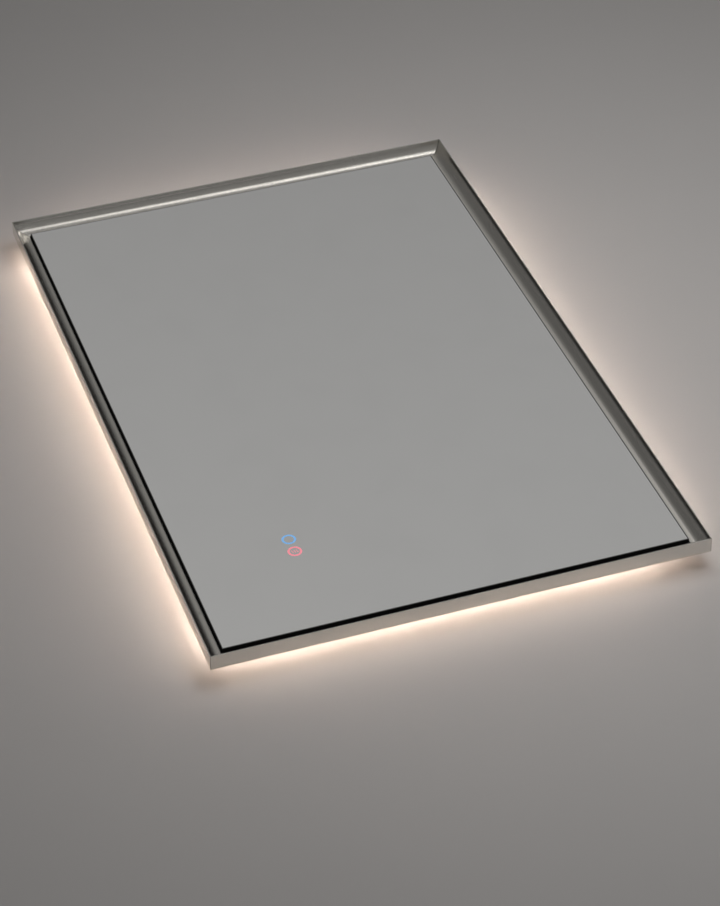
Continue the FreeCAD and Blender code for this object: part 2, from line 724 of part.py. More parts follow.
def chassis_tray():
    """A folded box with a flange round its mouth that is screwed to the frame's ledge."""
    tray = body("chassis_tray")
    flange = sketch(tray, "flange", at="flange_back")
    centred(flange, "flange_inset")
    pad(tray, flange, "sheet_thick")
    box = sketch(tray, "box", at="tray_out")
    rounded(box, "-1 * box_half_wide", "box_half_wide", "-1 * box_half_high", "box_half_high", "tray_corner")
    pad(tray, box, "flange_front - tray_out")
    room = sketch(tray, "room", at="flange_front")
    rounded(room, "sheet_thick - box_half_wide", "box_half_wide - sheet_thick",
            "sheet_thick - box_half_high", "box_half_high - sheet_thick", "(tray_corner - sheet_thick)")
    pocket(tray, room, "flange_front - floor_out")

    flange_holes = sketch(tray, "flange_holes", at="flange_front")
    for across, up in tray_screw_places():
        circle(flange_holes, across, up, "screw_radius + fit_gap")
    pocket(tray, flange_holes, "sheet_thick")

    floor_holes = sketch(tray, "floor_holes", at="floor_out")
    circle(floor_holes, "grommet_across", "service_up", "grommet_neck")
    circle(floor_holes, "terminal_across", "earth_up", "stud_radius + fit_gap")
    for across, up in rivet_places():
        circle(floor_holes, across, up, "rivet_radius + fit_gap")
    for across, up in driver_ear_places():
        circle(floor_holes, across, up, "screw_radius + fit_gap")
    pocket(tray, floor_holes, "sheet_thick")

    left_hole = sketch(tray, "left_hole", "YZ_Plane")
    circle(left_hole, "-1 * low_lead_out", "left_lead_up", "lead_radius + fit_gap")
    pocket(tray, left_hole, "half_wide")
    right_hole = sketch(tray, "right_hole", "YZ_Plane")
    circle(right_hole, "-1 * low_lead_out", "service_up", "lead_radius + fit_gap")
    pocket(tray, right_hole, "half_wide", along_normal=True)
    top_hole = sketch(tray, "top_hole", "XY_Plane")
    circle(top_hole, "upright_lead_across", "-1 * low_lead_out", "lead_radius + fit_gap")
    pocket(tray, top_hole, "half_high", along_normal=True)
    bottom_hole = sketch(tray, "bottom_hole", "XY_Plane")
    circle(bottom_hole, "upright_lead_across", "-1 * low_lead_out", "lead_radius + fit_gap")
    pocket(tray, bottom_hole, "half_high")


def tray_screws():
    """Pan-head screws, driven from the wall side through the flange into the frame."""
    screws = body("tray_screws")
    side = "(half_wide - screw_inset)"
    end = "(half_high - screw_inset)"
    rows = {
        "sides": ([(f"{s} * {side}", "-1.5 * screw_step_up") for s in (-1, 1)], "Z_Axis", "screw_step_up", 4),
        "ends": ([("-1 * screw_step_across", f"{s} * {end}") for s in (-1, 1)], "X_Axis", "screw_step_across", 3),
    }
    for name, (firsts, direction, pitch, count) in rows.items():
        head = sketch(screws, f"{name}_head", at="flange_back - screw_head_high")
        shank = sketch(screws, f"{name}_shank", at="flange_back")
        recess = sketch(screws, f"{name}_recess", at="flange_back - screw_head_high")
        for across, up in firsts:
            circle(head, across, up, "screw_head")
            circle(shank, across, up, "screw_radius")
            cross(recess, across, up)
        pair = [
            pad(screws, head, "screw_head_high"),
            pad(screws, shank, "sheet_thick + screw_bite"),
            pocket(screws, recess, "recess_deep", along_normal=True),
        ]
        doc.recompute()
        repeat(screws, pair, direction, pitch, count)


chassis_tray()
tray_screws()


# ---------------------------------------------------------------- light strips

# Where each side's lead comes through, along that side as drawn
LEAD_ALONG = {
    "left": "left_lead_up",
    "top": "upright_lead_across",
    "right": "-1 * service_up",
    "bottom": "-1 * upright_lead_across",
}


def light_side(name, turn, half_across, half_long):
    """Channel, board with chips and diffuser on one side of the tray box, shining outwards."""
    face = f"tray_inset - {half_across}"
    mouth = f"{face} - channel_deep"
    low = "-1 * channel_low"
    top = "-1 * channel_top"
    length = f"2 * ({half_long} - tray_inset - channel_short)"

    channel = body(f"led_channel_{name}", turn=turn)
    section = sketch(channel, "section", "XY_Plane")
    outline(section, [
        (face, top), (face, low), (mouth, low), (mouth, f"{low} - channel_wall"),
        (f"{face} - channel_wall", f"{low} - channel_wall"), (f"{face} - channel_wall", f"{top} + channel_wall"),
        (mouth, f"{top} + channel_wall"), (mouth, top),
    ])
    pad(channel, section, length, both_ways=True)
    hole = sketch(channel, "lead_hole", "YZ_Plane", at=face)
    circle(hole, "-1 * low_lead_out", LEAD_ALONG[name], "lead_radius + fit_gap")
    pocket(channel, hole, "channel_wall")

    strip = body(f"led_strip_{name}", turn=turn)
    board = sketch(strip, "board", "YZ_Plane", at=f"{face} - channel_wall - strip_thick")
    rectangle(board, f"{top} + channel_wall + strip_gap", f"{low} - channel_wall - strip_gap",
              f"-1 * ({length}) / 2", f"({length}) / 2")
    pad(strip, board, "strip_thick")
    chip = sketch(strip, "chip", "YZ_Plane", at=f"{face} - channel_wall - strip_thick - chip_thick")
    first = f"chip_pitch / 2 - ({length}) / 2"
    rectangle(chip, "-1 * box_middle - chip_size / 2", "chip_size / 2 - box_middle",
              f"{first} - chip_size / 2", f"{first} + chip_size / 2")
    one = pad(strip, chip, "chip_thick")
    doc.recompute()
    repeat(strip, [one], "Z_Axis", "chip_pitch", f"floor(({length}) / chip_pitch)")

    diffuser = body(f"led_diffuser_{name}", turn=turn)
    lens = sketch(diffuser, "section", "XY_Plane")
    outline(lens, [
        (mouth, f"{top} + channel_wall", "-1 * diffuser_bulge"),
        (mouth, f"{low} - channel_wall"),
        (f"{mouth} + diffuser_thick", f"{low} - channel_wall"),
        (f"{mouth} + diffuser_thick", f"{top} + channel_wall"),
    ])
    pad(diffuser, lens, length, both_ways=True)


for side_name, side_turn, across_half, long_half in SIDES:
    light_side(side_name, side_turn, across_half, long_half)


# ---------------------------------------------------------------- driver, terminals, splitter and earth

def shell(piece, half_long, half_high, deep, wall):
    """An open-topped case, floor down."""
    block = sketch(piece, "block")
    rectangle(block, f"-1 * {half_long}", half_long, f"-1 * {half_high}", half_high)
    pad(piece, block, deep)
    room = sketch(piece, "room", at=deep)
    rectangle(room, f"{wall} - {half_long}", f"{half_long} - {wall}", f"{wall} - {half_high}", f"{half_high} - {wall}")
    pocket(piece, room, f"{deep} - {wall}")


def driver():
    """Slim LED driver: case with two ears, its board, and a cover that stands inside the case's walls."""
    half_long = "driver_long / 2"
    half_high = "driver_high / 2"
    where = {"across": "driver_across", "up": "middle_up + service_up"}
    case = body("driver_case", out="floor_out", **where)
    shell(case, half_long, half_high, "driver_deep", "driver_wall")
    ears = sketch(case, "ears")
    for s in (-1, 1):
        rectangle(ears, f"{s} * {half_long}", f"{s} * ({half_long} + driver_ear)",
                  "-1 * ear_low - ear_high / 2", "ear_high / 2 - ear_low")
    pad(case, ears, "ear_thick")
    ear_holes = sketch(case, "ear_holes", at="ear_thick")
    for s in (-1, 1):
        circle(ear_holes, f"{s} * ({half_long} + driver_ear / 2)", "-1 * ear_low", "screw_radius + fit_gap")
    pocket(case, ear_holes, "ear_thick")

    board = body("driver_board", out="floor_out + driver_wall", **where)
    gap = "(driver_wall + key_play)"
    plate = sketch(board, "plate")
    rectangle(plate, f"{gap} - {half_long}", f"{half_long} - {gap}", f"{gap} - {half_high}", f"{half_high} - {gap}")
    pad(board, plate, "driver_board_thick")
    parts = sketch(board, "parts", at="driver_board_thick")
    rectangle(parts, "-1 * driver_long / 8", "driver_long / 8", "-1 * driver_high / 4", "driver_high / 4")
    rectangle(parts, "-1 * driver_long / 3", "-1 * driver_long / 5", "-1 * driver_high / 5", "driver_high / 5")
    circle(parts, "driver_long / 4", "0", "driver_high / 6")
    pad(board, parts, "driver_part_high")

    cover = body("driver_cover", out="floor_out + driver_deep", **where)
    lid = sketch(cover, "lid")
    rectangle(lid, f"-1 * {half_long}", half_long, f"-1 * {half_high}", half_high)
    pad(cover, lid, "driver_cover_deep")
    top = -now("driver_cover_deep")
    edges = edges_where(cover, lambda point: abs(point.y - top) < 1e-6)
    ease(cover, "Chamfer", edges, "driver_cover_deep / 2")

    screws = body("driver_screws", out="floor_out", up="middle_up")
    heads = sketch(screws, "heads", at="ear_thick")
    shanks = sketch(screws, "shanks", at="-1 * sheet_thick")
    recesses = sketch(screws, "recesses", at="ear_thick + screw_head_high")
    for across, up in driver_ear_places():
        circle(shanks, across, up, "screw_radius")
        circle(heads, across, up, "screw_head")
        cross(recesses, across, up)
    pad(screws, shanks, "sheet_thick + ear_thick")
    pad(screws, heads, "screw_head_high")
    pocket(screws, recesses, "recess_deep")


def lid_screw_places():
    reach_across = "terminal_long / 2 - lid_screw_in"
    reach_up = "terminal_high / 2 - lid_screw_in"
    yield f"-1 * ({reach_across})", reach_up
    yield reach_across, f"-1 * ({reach_up})"


def terminals():
    """Terminal box with a lid, two lid screws in their posts and a three-way block."""
    half_long = "terminal_long / 2"
    half_high = "terminal_high / 2"
    where = {"across": "terminal_across", "up": "middle_up + service_up"}
    box = body("terminal_box", out="floor_out", **where)
    shell(box, half_long, half_high, "terminal_deep", "terminal_wall")
    posts = sketch(box, "posts", at="terminal_wall")
    screw_holes = sketch(box, "screw_holes", at="terminal_deep")
    for across, up in lid_screw_places():
        circle(posts, across, up, "lid_post")
        circle(screw_holes, across, up, "lid_screw + fit_gap")
    pad(box, posts, "terminal_deep - terminal_wall")
    pocket(box, screw_holes, "lid_screw_long")
    entry = sketch(box, "entry", "YZ_Plane")
    rectangle(entry, "-1 * terminal_deep", "-1 * terminal_wall - 1", "-1 * grommet_bore", "grommet_bore")
    pocket(box, entry, half_long)

    lid = body("terminal_lid", out="floor_out + terminal_deep", **where)
    plate = sketch(lid, "plate")
    rectangle(plate, f"-1 * {half_long}", half_long, f"-1 * {half_high}", half_high)
    pad(lid, plate, "lid_thick")
    holes = sketch(lid, "holes", at="lid_thick")
    screws = body("terminal_lid_screws", out="floor_out + terminal_deep", **where)
    shanks = sketch(screws, "shanks", at="-1 * lid_screw_long")
    heads = sketch(screws, "heads", at="lid_thick")
    for across, up in lid_screw_places():
        circle(holes, across, up, "lid_screw + fit_gap")
        circle(shanks, across, up, "lid_screw")
        circle(heads, across, up, "lid_screw_head")
    pocket(lid, holes, "lid_thick")
    pad(screws, shanks, "lid_screw_long + lid_thick")
    pad(screws, heads, "lid_screw")

    block = body("terminal_block", out="floor_out + terminal_wall", **where)
    base = sketch(block, "base")
    rectangle(base, "-1 * block_long / 2", "block_long / 2", "-1 * block_high / 2", "block_high / 2")
    pad(block, base, "block_deep")
    ways = sketch(block, "ways", "XY_Plane", at="block_high / 2")
    for step in (-1, 0, 1):
        circle(ways, f"{step} * block_long / 3", "-1 * block_deep / 2", "block_bore")
    pocket(block, ways, "block_high")


def splitter():
    hub = body("lead_splitter", across="splitter_across", out="floor_out", up="middle_up + service_up")
    block = sketch(hub, "block")
    rounded(block, "-1 * splitter_long / 2", "splitter_long / 2", "-1 * splitter_high / 2", "splitter_high / 2",
            "splitter_corner")
    pad(hub, block, "splitter_deep")


def cable_grommet():
    """A rubber grommet, turned: two lips and a neck that fills the hole in the tray's back."""
    grommet = body("cable_grommet", across="grommet_across", up="middle_up + service_up")
    half = sketch(grommet, "half", "XY_Plane")
    outline(half, [
        ("grommet_bore", "grommet_lip_thick * -1 - floor_out"),
        ("grommet_bore", "grommet_lip_thick - tray_out"),
        ("grommet_lip", "grommet_lip_thick - tray_out"),
        ("grommet_lip", "-1 * tray_out"),
        ("grommet_neck", "-1 * tray_out"),
        ("grommet_neck", "-1 * floor_out"),
        ("grommet_lip", "-1 * floor_out"),
        ("grommet_lip", "grommet_lip_thick * -1 - floor_out"),
    ])
    turned = grommet.newObject("PartDesign::Revolution", "cable_grommet_turned")
    turned.Profile = half
    turned.ReferenceAxis = (plane_of(grommet, "Y_Axis"), [""])
    turned.Angle = 360


def hexagon(drawing, flats):
    """A hexagon about the origin, from its size across flats."""
    side = f"{flats} / sqrt(3)"
    outline(drawing, [
        (f"{side}", "0"), (f"{side} / 2", f"{flats} / 2"), (f"-1 * {side} / 2", f"{flats} / 2"),
        (f"-1 * {side}", "0"), (f"-1 * {side} / 2", f"-1 * {flats} / 2"), (f"{side} / 2", f"-1 * {flats} / 2"),
    ])


def earth_stud():
    """A stud through the tray's floor with a nut below and above the earth tag."""
    stud = body("earth_stud", across="terminal_across", out="floor_out", up="middle_up + earth_up")
    shank = sketch(stud, "shank", at="-1 * sheet_thick")
    circle(shank, "0", "0", "stud_radius")
    pad(stud, shank, "stud_long + sheet_thick")
    lower = sketch(stud, "lower_nut")
    hexagon(lower, "nut_across")
    pad(stud, lower, "low_lead_out - tag_thick / 2 - floor_out")
    upper = sketch(stud, "upper_nut", at="low_lead_out + tag_thick / 2 - floor_out")
    hexagon(upper, "nut_across")
    pad(stud, upper, "nut_high")


driver()
terminals()
splitter()
cable_grommet()
earth_stud()


# ---------------------------------------------------------------- wiring

def lead(name, route, out, radius):
    """A round lead along a flat route of level and upright runs, joined by tangent bends."""
    cable = body(name)
    spine = sketch(cable, "route", at=out)
    places = [FreeCAD.Vector(now(x), now(z), 0) for x, z in route]
    bend = now("lead_bend")
    runs = []
    for number in range(len(places) - 1):
        start = places[number]
        end = places[number + 1]
        along = (end - start).normalize()
        if number > 0:
            start = start + along * bend
        if number < len(places) - 2:
            end = end - along * bend
        run = spine.addGeometry(Part.LineSegment(start, end), False)
        runs.append(run)
        level = abs(along.y) < 1e-9
        spine.addConstraint(Sketcher.Constraint("Horizontal" if level else "Vertical", run))
        if number == 0 or level:
            hold(spine, "DistanceY", -1, 1, run, 1, route[number][1])
        if number == 0 or not level:
            hold(spine, "DistanceX", -1, 1, run, 1, route[number][0])
        if number == len(places) - 2:
            across_or_up = "DistanceX" if level else "DistanceY"
            hold(spine, across_or_up, -1, 1, run, 2, route[-1][0 if level else 1])
    for number in range(len(runs) - 1):
        before = spine.Geometry[runs[number]]
        after = spine.Geometry[runs[number + 1]]
        into = (before.EndPoint - before.StartPoint).normalize()
        away = (after.EndPoint - after.StartPoint).normalize()
        left_turn = into.x * away.y - into.y * away.x > 0
        curve = arc_between(before.EndPoint, after.StartPoint, bend if left_turn else -bend)
        arc = spine.addGeometry(curve, False)
        enter, leave = (1, 2) if left_turn else (2, 1)
        spine.addConstraint(Sketcher.Constraint("Tangent", runs[number], 2, arc, enter))
        spine.addConstraint(Sketcher.Constraint("Tangent", arc, leave, runs[number + 1], 1))
        hold(spine, "Radius", arc, "lead_bend")

    first = places[1] - places[0]
    if abs(first.x) > abs(first.y):
        end_face = sketch(cable, "round", "YZ_Plane", at=route[0][0])
        circle(end_face, f"-1 * ({out})", route[0][1], radius)
    else:
        end_face = sketch(cable, "round", "XY_Plane", at=route[0][1])
        circle(end_face, route[0][0], f"-1 * ({out})", radius)
    tube = cable.newObject("PartDesign::AdditivePipe", f"{name}_tube")
    tube.Profile = end_face
    tube.Spine = (spine, [f"Edge{number}" for number in range(1, 2 * len(runs))])
    leads.append((cable, spine, radius))
    return cable


low = "low_lead_out"
high = "touch_lead_out"
wire = "lead_radius"
lead("lead_supply", [("terminal_right", "service_up"), ("driver_left", "service_up")], low, wire)
lead("lead_driver_out", [("driver_right", "service_up"), ("splitter_left", "service_up")], low, wire)
lead("lead_led_right", [("splitter_across + splitter_long / 2", "service_up"), ("board_half_wide", "service_up")],
     low, wire)
lead("lead_led_top", [("upright_lead_across", "splitter_head"), ("upright_lead_across", "board_half_high")], low, wire)
lead("lead_led_left", [("left_lead_across", "splitter_foot"), ("left_lead_across", "left_lead_up"),
                       ("-1 * board_half_wide", "left_lead_up")], low, wire)
lead("lead_led_bottom", [("upright_lead_across", "splitter_foot"), ("upright_lead_across", "-1 * board_half_high")],
     low, wire)
lead("lead_touch_light", [("light_touch_across", "splitter_foot"), ("light_touch_across", "light_up"),
                          ("touch_case_right", "light_up")], high, wire)
lead("lead_touch_demister", [("demister_touch_across", "splitter_foot"), ("demister_touch_across", "demister_up"),
                             ("touch_case_right", "demister_up")], high, wire)
lead("lead_demister", [("pad_lead_across", "contact_foot"), ("pad_lead_across", "pad_lead_up"),
                       ("touch_case_right", "pad_lead_up")], "film_back - pad_thick - contact_deep / 2",
     "pad_lead_radius")
earth = lead("lead_earth", [("terminal_across", "terminal_foot"),
                            ("terminal_across", "earth_up + nut_across / sqrt(3) + tag_lap")], low, wire)
tag = sketch(earth, "tag", at="low_lead_out - tag_thick / 2")
circle(tag, "terminal_across", "earth_up", "tag_radius")
circle(tag, "terminal_across", "earth_up", "stud_radius + fit_gap")
pad(earth, tag, "tag_thick")


def lead_clips():
    """Posts on the tray's floor that the leads pass through."""
    clips = body("lead_clips")
    reach = "(lead_radius + clip_wall)"
    half = "clip_wide / 2"
    low_posts = sketch(clips, "low_posts", at="floor_out")
    high_posts = sketch(clips, "high_posts", at="floor_out")
    for step in (0.5, -0.5):
        rectangle(low_posts, f"clip_pitch * {step} - {half}", f"clip_pitch * {step} + {half}",
                  f"left_lead_up - {reach}", f"left_lead_up + {reach}")
        rectangle(high_posts, f"clip_pitch * {step} - {half}", f"clip_pitch * {step} + {half}",
                  f"demister_up - {reach}", f"light_up + {reach}")
    rectangle(low_posts, f"upright_lead_across - {reach}", f"upright_lead_across + {reach}",
              f"top_clip_up - {half}", f"top_clip_up + {half}")
    for step in (0.5, -0.5, -1.5):
        rectangle(high_posts, f"light_touch_across - {reach}", f"demister_touch_across + {reach}",
                  f"clip_pitch * {step} - {half}", f"clip_pitch * {step} + {half}")
    pad(clips, low_posts, "low_lead_out + lead_radius + clip_wall - floor_out")
    pad(clips, high_posts, "touch_lead_out + lead_radius + clip_wall / 2 - floor_out")

    level = sketch(clips, "level_holes", "YZ_Plane")
    circle(level, "-1 * low_lead_out", "left_lead_up", "lead_radius + fit_gap")
    circle(level, "-1 * touch_lead_out", "demister_up", "lead_radius + fit_gap")
    circle(level, "-1 * touch_lead_out", "light_up", "lead_radius + fit_gap")
    pocket(clips, level, "clip_pitch + 2 * clip_wide", both_ways=True)
    upright = sketch(clips, "upright_holes", "XY_Plane")
    circle(upright, "upright_lead_across", "-1 * low_lead_out", "lead_radius + fit_gap")
    circle(upright, "light_touch_across", "-1 * touch_lead_out", "lead_radius + fit_gap")
    circle(upright, "demister_touch_across", "-1 * touch_lead_out", "lead_radius + fit_gap")
    pocket(clips, upright, "frame_high", both_ways=True)


lead_clips()


# ---------------------------------------------------------------- hanging

def at_corner(across, up):
    """Test for the long edges of a folded rail that run through (out, up)."""
    return lambda point: abs(point.y + now(across)) < 1e-6 and abs(point.z - now(up)) < 1e-6


def fold(piece, corners, radius):
    """Rounds the long edges of a folded rail at the given (out, up) corners."""
    edges = []
    for across, up in corners:
        edges += edges_where(piece, at_corner(across, up))
    ease(piece, "Fillet", edges, radius)


def wall_rail():
    """A rail folded from sheet: a leaf on the wall, and a lip that stands off it to take the hook."""
    rail = body("wall_rail", up="0")
    section = sketch(rail, "section", "YZ_Plane")
    outline(section, [
        ("0", "-1 * rail_leaf"),
        ("0", "rail_leaf"),
        ("-1 * rail_slot", "rail_leaf"),
        ("-1 * rail_slot", "hook_up"),
        ("-1 * rail_slot - rail_thick", "hook_up"),
        ("-1 * rail_slot - rail_thick", "rail_leaf - rail_thick"),
        ("-1 * rail_thick", "rail_leaf - rail_thick"),
        ("-1 * rail_thick", "-1 * rail_leaf"),
    ])
    pad(rail, section, "rail_long", both_ways=True)
    fold(rail, [("rail_slot", "rail_leaf"), ("rail_thick", "rail_leaf - rail_thick")], "fold_inside")
    fold(rail, [("0", "rail_leaf"), ("rail_slot + rail_thick", "rail_leaf - rail_thick")],
         "fold_inside + rail_thick")
    holes = sketch(rail, "holes", at="rail_thick")
    for s in (-1, 1):
        circle(holes, f"{s} * wall_screw_pitch / 2", "0", "wall_screw_radius")
    pocket(rail, holes, "rail_thick")


def hook_rail():
    """A folded rail riveted to the tray's back. Its leg drops behind the wall rail's lip."""
    hook = body("hook_rail", up="0")
    section = sketch(hook, "section", "YZ_Plane")
    outline(section, [
        ("-1 * hook_back", "hook_up - hook_leg"),
        ("-1 * hook_back", "hook_up + rail_thick"),
        ("rail_thick - tray_out", "hook_up + rail_thick"),
        ("rail_thick - tray_out", "hook_up + hook_leaf"),
        ("-1 * tray_out", "hook_up + hook_leaf"),
        ("-1 * tray_out", "hook_up"),
        ("-1 * hook_back - rail_thick", "hook_up"),
        ("-1 * hook_back - rail_thick", "hook_up - hook_leg"),
    ])
    pad(hook, section, "hook_long", both_ways=True)
    fold(hook, [("tray_out - rail_thick", "hook_up + rail_thick")], "fold_inside")
    fold(hook, [("hook_back", "hook_up + rail_thick")], "rail_thick")
    fold(hook, [("tray_out", "hook_up")], "fold_inside + rail_thick")
    holes = sketch(hook, "holes", at="tray_out")
    for across, up in rivet_places():
        circle(holes, across, f"{up} + middle_up", "rivet_radius + fit_gap")
    pocket(hook, holes, "rail_thick")


def hook_rivets():
    """Rivets with a head on the hook rail and a formed end inside the tray."""
    rivets = body("hook_rivets")
    heads = sketch(rivets, "heads", at="tray_out - rail_thick - rivet_head_high")
    shanks = sketch(rivets, "shanks", at="tray_out - rail_thick")
    bulbs = sketch(rivets, "bulbs", at="floor_out")
    for across, up in rivet_places():
        circle(heads, across, up, "rivet_head")
        circle(shanks, across, up, "rivet_radius")
        circle(bulbs, across, up, "rivet_bulb")
    pad(rivets, heads, "rivet_head_high")
    pad(rivets, shanks, "rail_thick + sheet_thick")
    pad(rivets, bulbs, "rivet_head_high")


def bumpers():
    """Two rubber feet that hold the lower edge as far from the wall as the rail holds the top."""
    feet = body("bumpers")
    discs = sketch(feet, "discs")
    for s in (-1, 1):
        circle(discs, f"{s} * (box_half_wide - bumper_in)", "bumper_in - box_half_high", "bumper_radius")
    pad(feet, discs, "tray_out")
    ease(feet, "Fillet", edges_where(feet, lambda point: abs(point.y) < 1e-6), "bumper_round")


wall_rail()
hook_rail()
hook_rivets()
bumpers()


# ---------------------------------------------------------------- checks, then the files

doc.recompute()
failed = [thing.Name for thing in doc.Objects if {"Invalid", "Error"} & set(thing.State)]
if failed:
    raise SystemExit(f"failed: {failed}")
for feature in doc.Objects:
    if feature.TypeId == "PartDesign::Pocket":
        if feature.Shape.Volume > feature.BaseFeature.Shape.Volume - 1e-6:
            raise SystemExit(f"{feature.Name} cuts nothing")
nodes = [thing for thing in doc.Objects if thing.TypeId == "PartDesign::Body"]
for node in nodes:
    if node.Shape.isNull() or not node.Shape.isValid():
        raise SystemExit(f"{node.Label} is not a sound shape")
for cable, route, radius in leads:
    swept = math.pi * now(radius) ** 2 * route.Shape.Length
    print(f"{cable.Label}: {route.Shape.Length:.1f} mm long, volume {cable.Shape.Volume:.1f} of {swept:.1f}")
os.makedirs("parts", exist_ok=True)
for node in nodes:
    node.Shape.exportStep(f"parts/{node.Label}.step")
box = Part.makeCompound([node.Shape for node in nodes]).BoundBox
print(f"{len(nodes)} nodes, {box.XLength:.1f} x {box.YLength:.1f} x {box.ZLength:.1f} mm")
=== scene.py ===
# %% [markdown]
# # A lighted bathroom mirror
# The mirror hangs flat on a wall: a silvered pane in a slim frame of drawn metal, whose front is a hollow cove.
# Light strips behind the frame throw a warm halo on the wall, and two lit rings in the glass are touch switches.
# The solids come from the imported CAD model. This lesson gives each of them its finish, and sets the wall, the light
# and the camera.

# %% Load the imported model
import math

import bmesh
import bpy
from mathutils import Matrix, Vector


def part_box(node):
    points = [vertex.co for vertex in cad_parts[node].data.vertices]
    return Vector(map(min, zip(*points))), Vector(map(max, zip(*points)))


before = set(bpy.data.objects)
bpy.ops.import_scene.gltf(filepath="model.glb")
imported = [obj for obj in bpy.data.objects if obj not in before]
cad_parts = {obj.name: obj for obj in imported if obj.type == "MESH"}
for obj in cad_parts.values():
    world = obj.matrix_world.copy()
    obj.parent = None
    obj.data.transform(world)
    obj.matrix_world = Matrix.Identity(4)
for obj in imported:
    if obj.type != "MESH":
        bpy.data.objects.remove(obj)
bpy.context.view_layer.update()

MM = 0.001

# %% [markdown]
# ## The camera
# A photograph's perspective is settled by where the camera stands, not by its lens. The edges of the frame that
# run together fix that place, and the lens then sets how large the mirror is in the picture. The camera stands
# low on the left, looks up at the pane and is rolled, so that the pane lies askew in the picture.

# %% Camera
CAMERA_PLACE = Vector((-0.918, -2.242, -3.089))
CAMERA_AIM = Vector((-0.024, -0.030, -0.454))
CAMERA_ROLL = math.radians(-29.16)
LENS_MM = 118.4


def place_camera():
    camera = bpy.data.objects.new("camera", bpy.data.cameras.new("camera"))
    bpy.context.scene.collection.objects.link(camera)
    camera.data.sensor_width = 36
    camera.data.lens = LENS_MM
    level = (CAMERA_AIM - CAMERA_PLACE).to_track_quat("-Z", "Y").to_matrix()
    turned = level @ Matrix.Rotation(CAMERA_ROLL, 3, "Z")
    camera.matrix_world = Matrix.Translation(CAMERA_PLACE) @ turned.to_4x4()
    bpy.context.scene.camera = camera
    return camera


print("camera looks along", [round(v, 3) for v in place_camera().matrix_world.col[2].xyz * -1])

# %% [markdown]
# ## A few short ways of making nodes
# Each finish is a small tree of nodes. These helpers keep one node to one line, so that a tree reads like a recipe.
# A name with an underscore stands for a socket with a space.

# %% Node helpers


def add(tree, kind, **values):
    """One shader node. Values are its own settings or the values of its sockets."""
    made = tree.nodes.new("ShaderNode" + kind)
    for name, value in values.items():
        if hasattr(made, name):
            setattr(made, name, value)
        else:
            made.inputs[name.replace("_", " ")].default_value = value
    return made


def join(tree, *pairs):
    for out, into in pairs:
        tree.links.new(out, into)


def group(name, inputs, outputs):
    """An empty node group with named inputs and outputs."""
    tree = bpy.data.node_groups.new(name, "ShaderNodeTree")
    for label, kind, value in inputs:
        socket = tree.interface.new_socket(label, in_out="INPUT", socket_type="NodeSocket" + kind)
        if value is not None:
            socket.default_value = value
    for label, kind in outputs:
        tree.interface.new_socket(label, in_out="OUTPUT", socket_type="NodeSocket" + kind)
    return tree, tree.nodes.new("NodeGroupInput").outputs, tree.nodes.new("NodeGroupOutput").inputs


def maths(tree, operation, first, second=None, third=None, clamp=False):
    """A Math node whose arguments are numbers or sockets. Gives its result."""
    made = tree.nodes.new("ShaderNodeMath")
    made.operation = operation
    made.use_clamp = clamp
    for slot, value in enumerate((first, second, third)):
        if isinstance(value, bpy.types.NodeSocket):
            tree.links.new(value, made.inputs[slot])
        elif value is not None:
            made.inputs[slot].default_value = value
    return made.outputs[0]


def blend_colours(tree, mask, under, over, kind="MIX"):
    made = tree.nodes.new("ShaderNodeMix")
    made.data_type = "RGBA"
    made.blend_type = kind
    for socket, value in ((made.inputs[0], mask), (made.inputs[6], under), (made.inputs[7], over)):
        if isinstance(value, bpy.types.NodeSocket):
            tree.links.new(value, socket)
        elif isinstance(value, (int, float)):
            socket.default_value = value
        else:
            socket.default_value = (*value, 1)
    return made.outputs[2]


def ramp(tree, value, low, high, to_low=0.0, to_high=1.0):
    """A value between low and high, spread to between to_low and to_high."""
    made = tree.nodes.new("ShaderNodeMapRange")
    made.inputs["From Min"].default_value = low
    made.inputs["From Max"].default_value = high
    made.inputs["To Min"].default_value = to_low
    made.inputs["To Max"].default_value = to_high
    tree.links.new(value, made.inputs["Value"])
    return made.outputs["Result"]


print("node helpers ready")

# %% [markdown]
# ## Effects that several finishes share
# Real surfaces differ from a flat colour in a handful of ways: a fine grain from the mould or the paint gun, lines
# from drawing or brushing, edges that hands and boxes have rubbed bright, dust on what faces up, and faint smears
# where fingers went. Each is a node group, built once, with its size in millimetres.

# %% Grain


def make_grain():
    tree, given, gives = group(
        "grain",
        [("Vector", "Vector", None), ("Size mm", "Float", 0.5), ("Roughen", "Float", 0.5)],
        [("Tone", "Float"), ("Height", "Float")],
    )
    scale = maths(tree, "DIVIDE", 1000, given["Size mm"])
    fine = add(tree, "TexNoise", Detail=4.0)
    broad = add(tree, "TexNoise", Detail=2.0)
    join(tree, (given["Vector"], fine.inputs["Vector"]), (given["Vector"], broad.inputs["Vector"]))
    join(tree, (scale, fine.inputs["Scale"]), (given["Roughen"], fine.inputs["Roughness"]))
    join(tree, (maths(tree, "MULTIPLY", scale, 0.02), broad.inputs["Scale"]))
    fine_part = maths(tree, "MULTIPLY", fine.outputs[0], 0.4)
    broad_part = maths(tree, "MULTIPLY", broad.outputs[0], 0.6)
    join(tree, (maths(tree, "ADD", fine_part, broad_part), gives["Tone"]), (fine.outputs[0], gives["Height"]))
    return tree


GRAIN = make_grain()
print("group:", GRAIN.name)

# %% Lines from drawing or brushing


